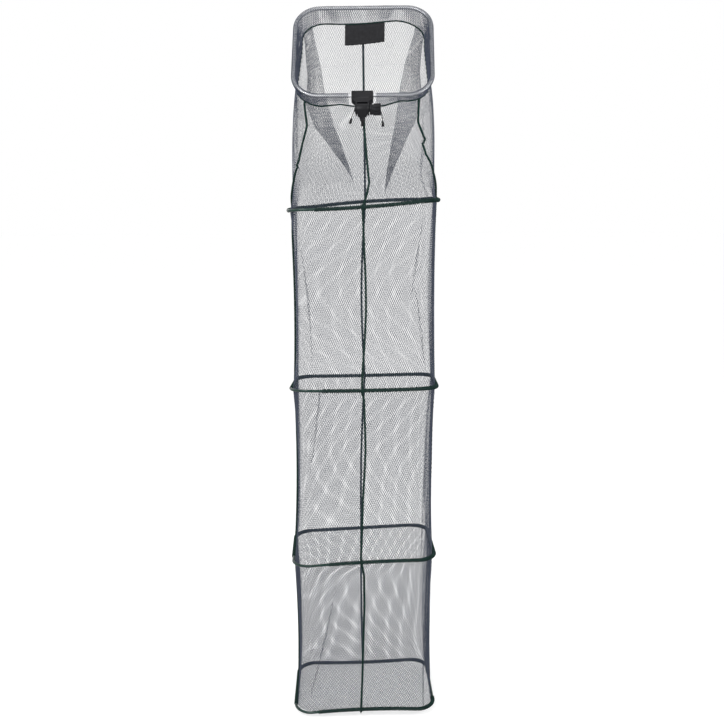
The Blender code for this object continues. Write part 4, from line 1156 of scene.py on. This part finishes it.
boltRows = (
    (0.0006, -0.0244, True), (0.0033, -0.0246, True), (0.0033, -0.0265, True), (0.0036, -0.0268, True),
    (0.0058, -0.0268, False), (0.0065, -0.02665, False), (0.0069, -0.0262, False), (0.0070, -0.0254, False),
    (0.0070, -0.0231, False), (0.0067, -0.0228, False), (0.0040, -0.0228, False), (0.0040, 0.0441, False),
    (0.0033, 0.0449, False),
)
coverScrewRows = (
    (0.0003, -0.0011, True), (0.0013, -0.0012, True), (0.0013, -0.0002, True), (0.0015, 0.0, True),
    (0.0024, 0.0, False), (0.0028, -0.0002, False), (0.0030, -0.0006, False), (0.0030, -0.0020, False),
    (0.0015, -0.0020, False), (0.0015, -0.0182, False), (0.0011, -0.0186, False),
)
washerRows = (
    (0.0043, 0.0230), (0.0045, 0.0228), (0.0088, 0.0228), (0.0090, 0.0230), (0.0090, 0.0241), (0.0088, 0.0243),
    (0.0045, 0.0243), (0.0043, 0.0241),
)
studThread = {"radius": 0.00476, "depth": 0.00062, "pitch": 0.00127, "top": 0.0135, "foot": -0.017, "sides": 36,
              "bevel": 0.0004, "runOut": 0.0012, "tip": 0.0009}


# the thread begins below the nose and runs out over the tapered tip
def studReach(row, angle):
    radius, height = row
    fade = min(1, max(0, -height / studThread["runOut"]))
    tip = min(1, (height - studThread["foot"]) / studThread["tip"])
    turn = height / studThread["pitch"] - angle / math.tau
    groove = 1 - abs(2 * (turn % 1) - 1)
    reach = radius - studThread["depth"] * min(1, 1.25 * groove) * fade * (0.3 + 0.7 * tip)
    reach = min(reach, radius - studThread["tip"] * (1 - tip))
    return reach - studThread["bevel"] if height > studThread["top"] - 0.0002 else reach


def makeStud():
    heights = [studThread["top"], studThread["top"] - studThread["bevel"]]
    heights += list(np.arange(0.0, studThread["foot"], -studThread["pitch"] / 8)) + [studThread["foot"]]
    outline = [(studThread["radius"], height) for height in heights]
    return loftMesh("studThread", rowsAround(outline, studThread["sides"], studReach), Matrix(), sharp=60)


# a copy of a moulded CAD piece, with more of its form cut out of it or added to it, and its edges softened
def mouldedCopy(name, node, changes, width=0.0003):
    bm = bmesh.new()
    bm.from_mesh(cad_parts[node].data)
    bmesh.ops.remove_doubles(bm, verts=bm.verts, dist=0.00001)
    bmesh.ops.recalc_face_normals(bm, faces=bm.faces)
    piece = addObject(name, meshOf(bm, name))
    helpers = []
    for change, (operation, shape) in enumerate(changes):
        helper = addObject(f"{name}Change{change}", shape)
        helpers.append(helper)
        step = piece.modifiers.new("change", "BOOLEAN")
        step.operation, step.solver, step.object = operation, "EXACT", helper
    soften = piece.modifiers.new("soften", "BEVEL")
    soften.width, soften.segments, soften.limit_method, soften.angle_limit = width, 2, "ANGLE", math.radians(40)
    made = carriedOut(piece)
    for extra in helpers + [piece]:
        bpy.data.objects.remove(extra)
    made.name = name
    made.shade_smooth()
    made.set_sharp_from_angle(angle=math.radians(32))
    return addObject(name, made)


# a plate from an outline in the head's frame, between two heights; its upper end may be wider or narrower
def plate(name, outline, low, high, widen):
    centreY = sum(y for _, y in outline) / len(outline)
    upper = [(x * widen, centreY + (y - centreY) * widen, high) for x, y in outline]
    return loftMesh(name, [[(x, y, low) for x, y in outline], upper], headPlace, sharp=30)


frontPanel = (
    (0.0185, 0.0268), (0.0325, 0.0385), (0.0325, 0.0632), (-0.0325, 0.0632), (-0.0325, 0.0385), (-0.0185, 0.0268),
)
backPanel = ((0.019, 0.0405), (0.019, 0.0635), (-0.019, 0.0635), (-0.019, 0.0405))
bossRows = ((0.0048, 0.0115), (0.0048, 0.0130), (0.0044, 0.0134))
collarRows = (
    (0.0070, 0.0006), (0.0082, 0.0008), (0.0086, 0.0013), (0.0086, 0.0034), (0.0082, 0.0040), (0.0070, 0.0044),
)
coverScrew = {"x": 0.026, "y": 0.0435, "seat": -0.0127}
screwBosses = [
    turnedMesh("screwBoss", bossRows, 28, headPlace @ Matrix.Translation((sign * coverScrew["x"], coverScrew["y"], 0)))
    for sign in (-1, 1)
]
bodyChanges = [("DIFFERENCE", plate("frontPanel", frontPanel, 0.0123, 0.0140, 1.03))]
bodyChanges += [("UNION", boss) for boss in screwBosses]
headPiece = mouldedCopy("headBody", "head_body", bodyChanges)
coverPiece = mouldedCopy(
    "headBackCover", "head_back_cover", [("DIFFERENCE", plate("backPanel", backPanel, -0.0123, -0.0140, 1.03))]
)
nosePiece = mouldedCopy("noseBody", "nose_body", [("UNION", turnedMesh("noseCollar", collarRows, 40, Matrix()))])
knobPlace = acrossHead @ Matrix.Translation((0, 0, knobShape["start"]))
knobMesh = loftMesh("lockingKnob", rowsAround(knobRows, knobShape["sides"], knobReach), knobPlace, sharp=50)
headPieces = [
    (headPiece, "mouth", "black_plastic", "head_body", blackPlastic),
    (coverPiece, "mouth", "black_plastic", "head_back_cover", blackPlastic),
    (nosePiece, "nose", "black_plastic", "nose_body", blackPlastic),
    (addObject("lockingKnob", knobMesh), "knob", "black_plastic", "locking_knob", blackPlastic),
]
boltMesh = socketMesh("pivotBolt", boltRows, 48, acrossHead)
washerMesh = turnedMesh("pivotWasher", washerRows, 48, acrossHead, looped=True)
headPieces += [
    (addObject("pivotBolt", boltMesh), "mouth", "steel", "pivot_bolt", blackenedSteel),
    (addObject("pivotWasher", washerMesh), "mouth", "steel", "pivot_washer", blackenedSteel),
    (addObject("studThread", makeStud()), "nose", "steel", "threaded_stud", blackenedSteel),
]
for side, sign in (("left", -1), ("right", 1)):
    seat = Matrix.Translation((sign * coverScrew["x"], coverScrew["y"], coverScrew["seat"]))
    screwMesh = socketMesh("coverScrew", coverScrewRows, 36, headPlace @ seat @ Matrix.Rotation(math.pi, 4, "X"))
    headPieces.append((addObject(f"coverScrew_{side}", screwMesh), "mouth", "steel", f"cover_screw_{side}", steel))
for piece, body, slot, node, material in headPieces:
    finishPiece(piece, body, [node], material)
print("head made")

# finishes of the CAD pieces that are shown as they are
cadFinishes = {"knob_insert": brass, "frame_spigot": tubeMetal}
cadFinishes.update({f"ring_{number}_core": steel for number in (1, 2, 3, 4)})
for name, material in cadFinishes.items():
    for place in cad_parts[name].material_slots:
        place.material = material

# floor, white surroundings and soft lamps
studio = {"floor": -2.116, "floorSize": 30, "ambient": 0.50, "fill": 0.55, "aim": (0, 0.13, -0.9)}
lamps = (("key", (-2.4, -3.6, 2.6), 3.0, 150.0), ("side", (3.4, -2.2, 0.6), 2.5, 60.0))


def buildStudio():
    scene = bpy.context.scene
    scene.world = bpy.data.worlds.new("studio")
    scene.world.use_nodes = True
    around = Nodes(scene.world.node_tree)
    rays = around.node("ShaderNodeLightPath").outputs
    seen = around.calc("MAXIMUM", rays["Is Camera Ray"], rays["Is Glossy Ray"])
    seen = around.calc("MAXIMUM", seen, rays["Is Transmission Ray"])
    back = around.tree.nodes["Background"].inputs
    around.feed(back["Color"], (1, 1, 1))
    around.feed(back["Strength"], around.out("ShaderNodeMapRange", seen, 0.0, 1.0, studio["ambient"]))
    for name, place, size, power in lamps:
        lamp = bpy.data.lights.new(name, "AREA")
        lamp.shape, lamp.size, lamp.energy = "SQUARE", size, power
        holder = addObject(name, lamp)
        holder.location = place
        aim = Vector(studio["aim"]) - Vector(place)
        holder.rotation_euler = aim.to_track_quat("-Z", "Y").to_euler()
    bm = bmesh.new()
    bmesh.ops.create_grid(bm, x_segments=8, y_segments=8, size=studio["floorSize"])
    mesh = meshOf(bm, "floor")
    mesh.transform(Matrix.Translation((0, 0, studio["floor"])))
    pale = Finish("paleFloor", (0.86, 0.86, 0.86), 0.9, Specular_IOR_Level=0.1, Emission_Color=(1, 1, 1))
    seen = pale.node("ShaderNodeLightPath").outputs["Is Camera Ray"]
    pale.drive(Emission_Strength=pale.calc("MULTIPLY", seen, studio["fill"]))
    mesh.materials.append(pale.material)
    addObject("floor", mesh)
    scene.view_settings.view_transform = "Standard"


buildStudio()
print("studio ready")
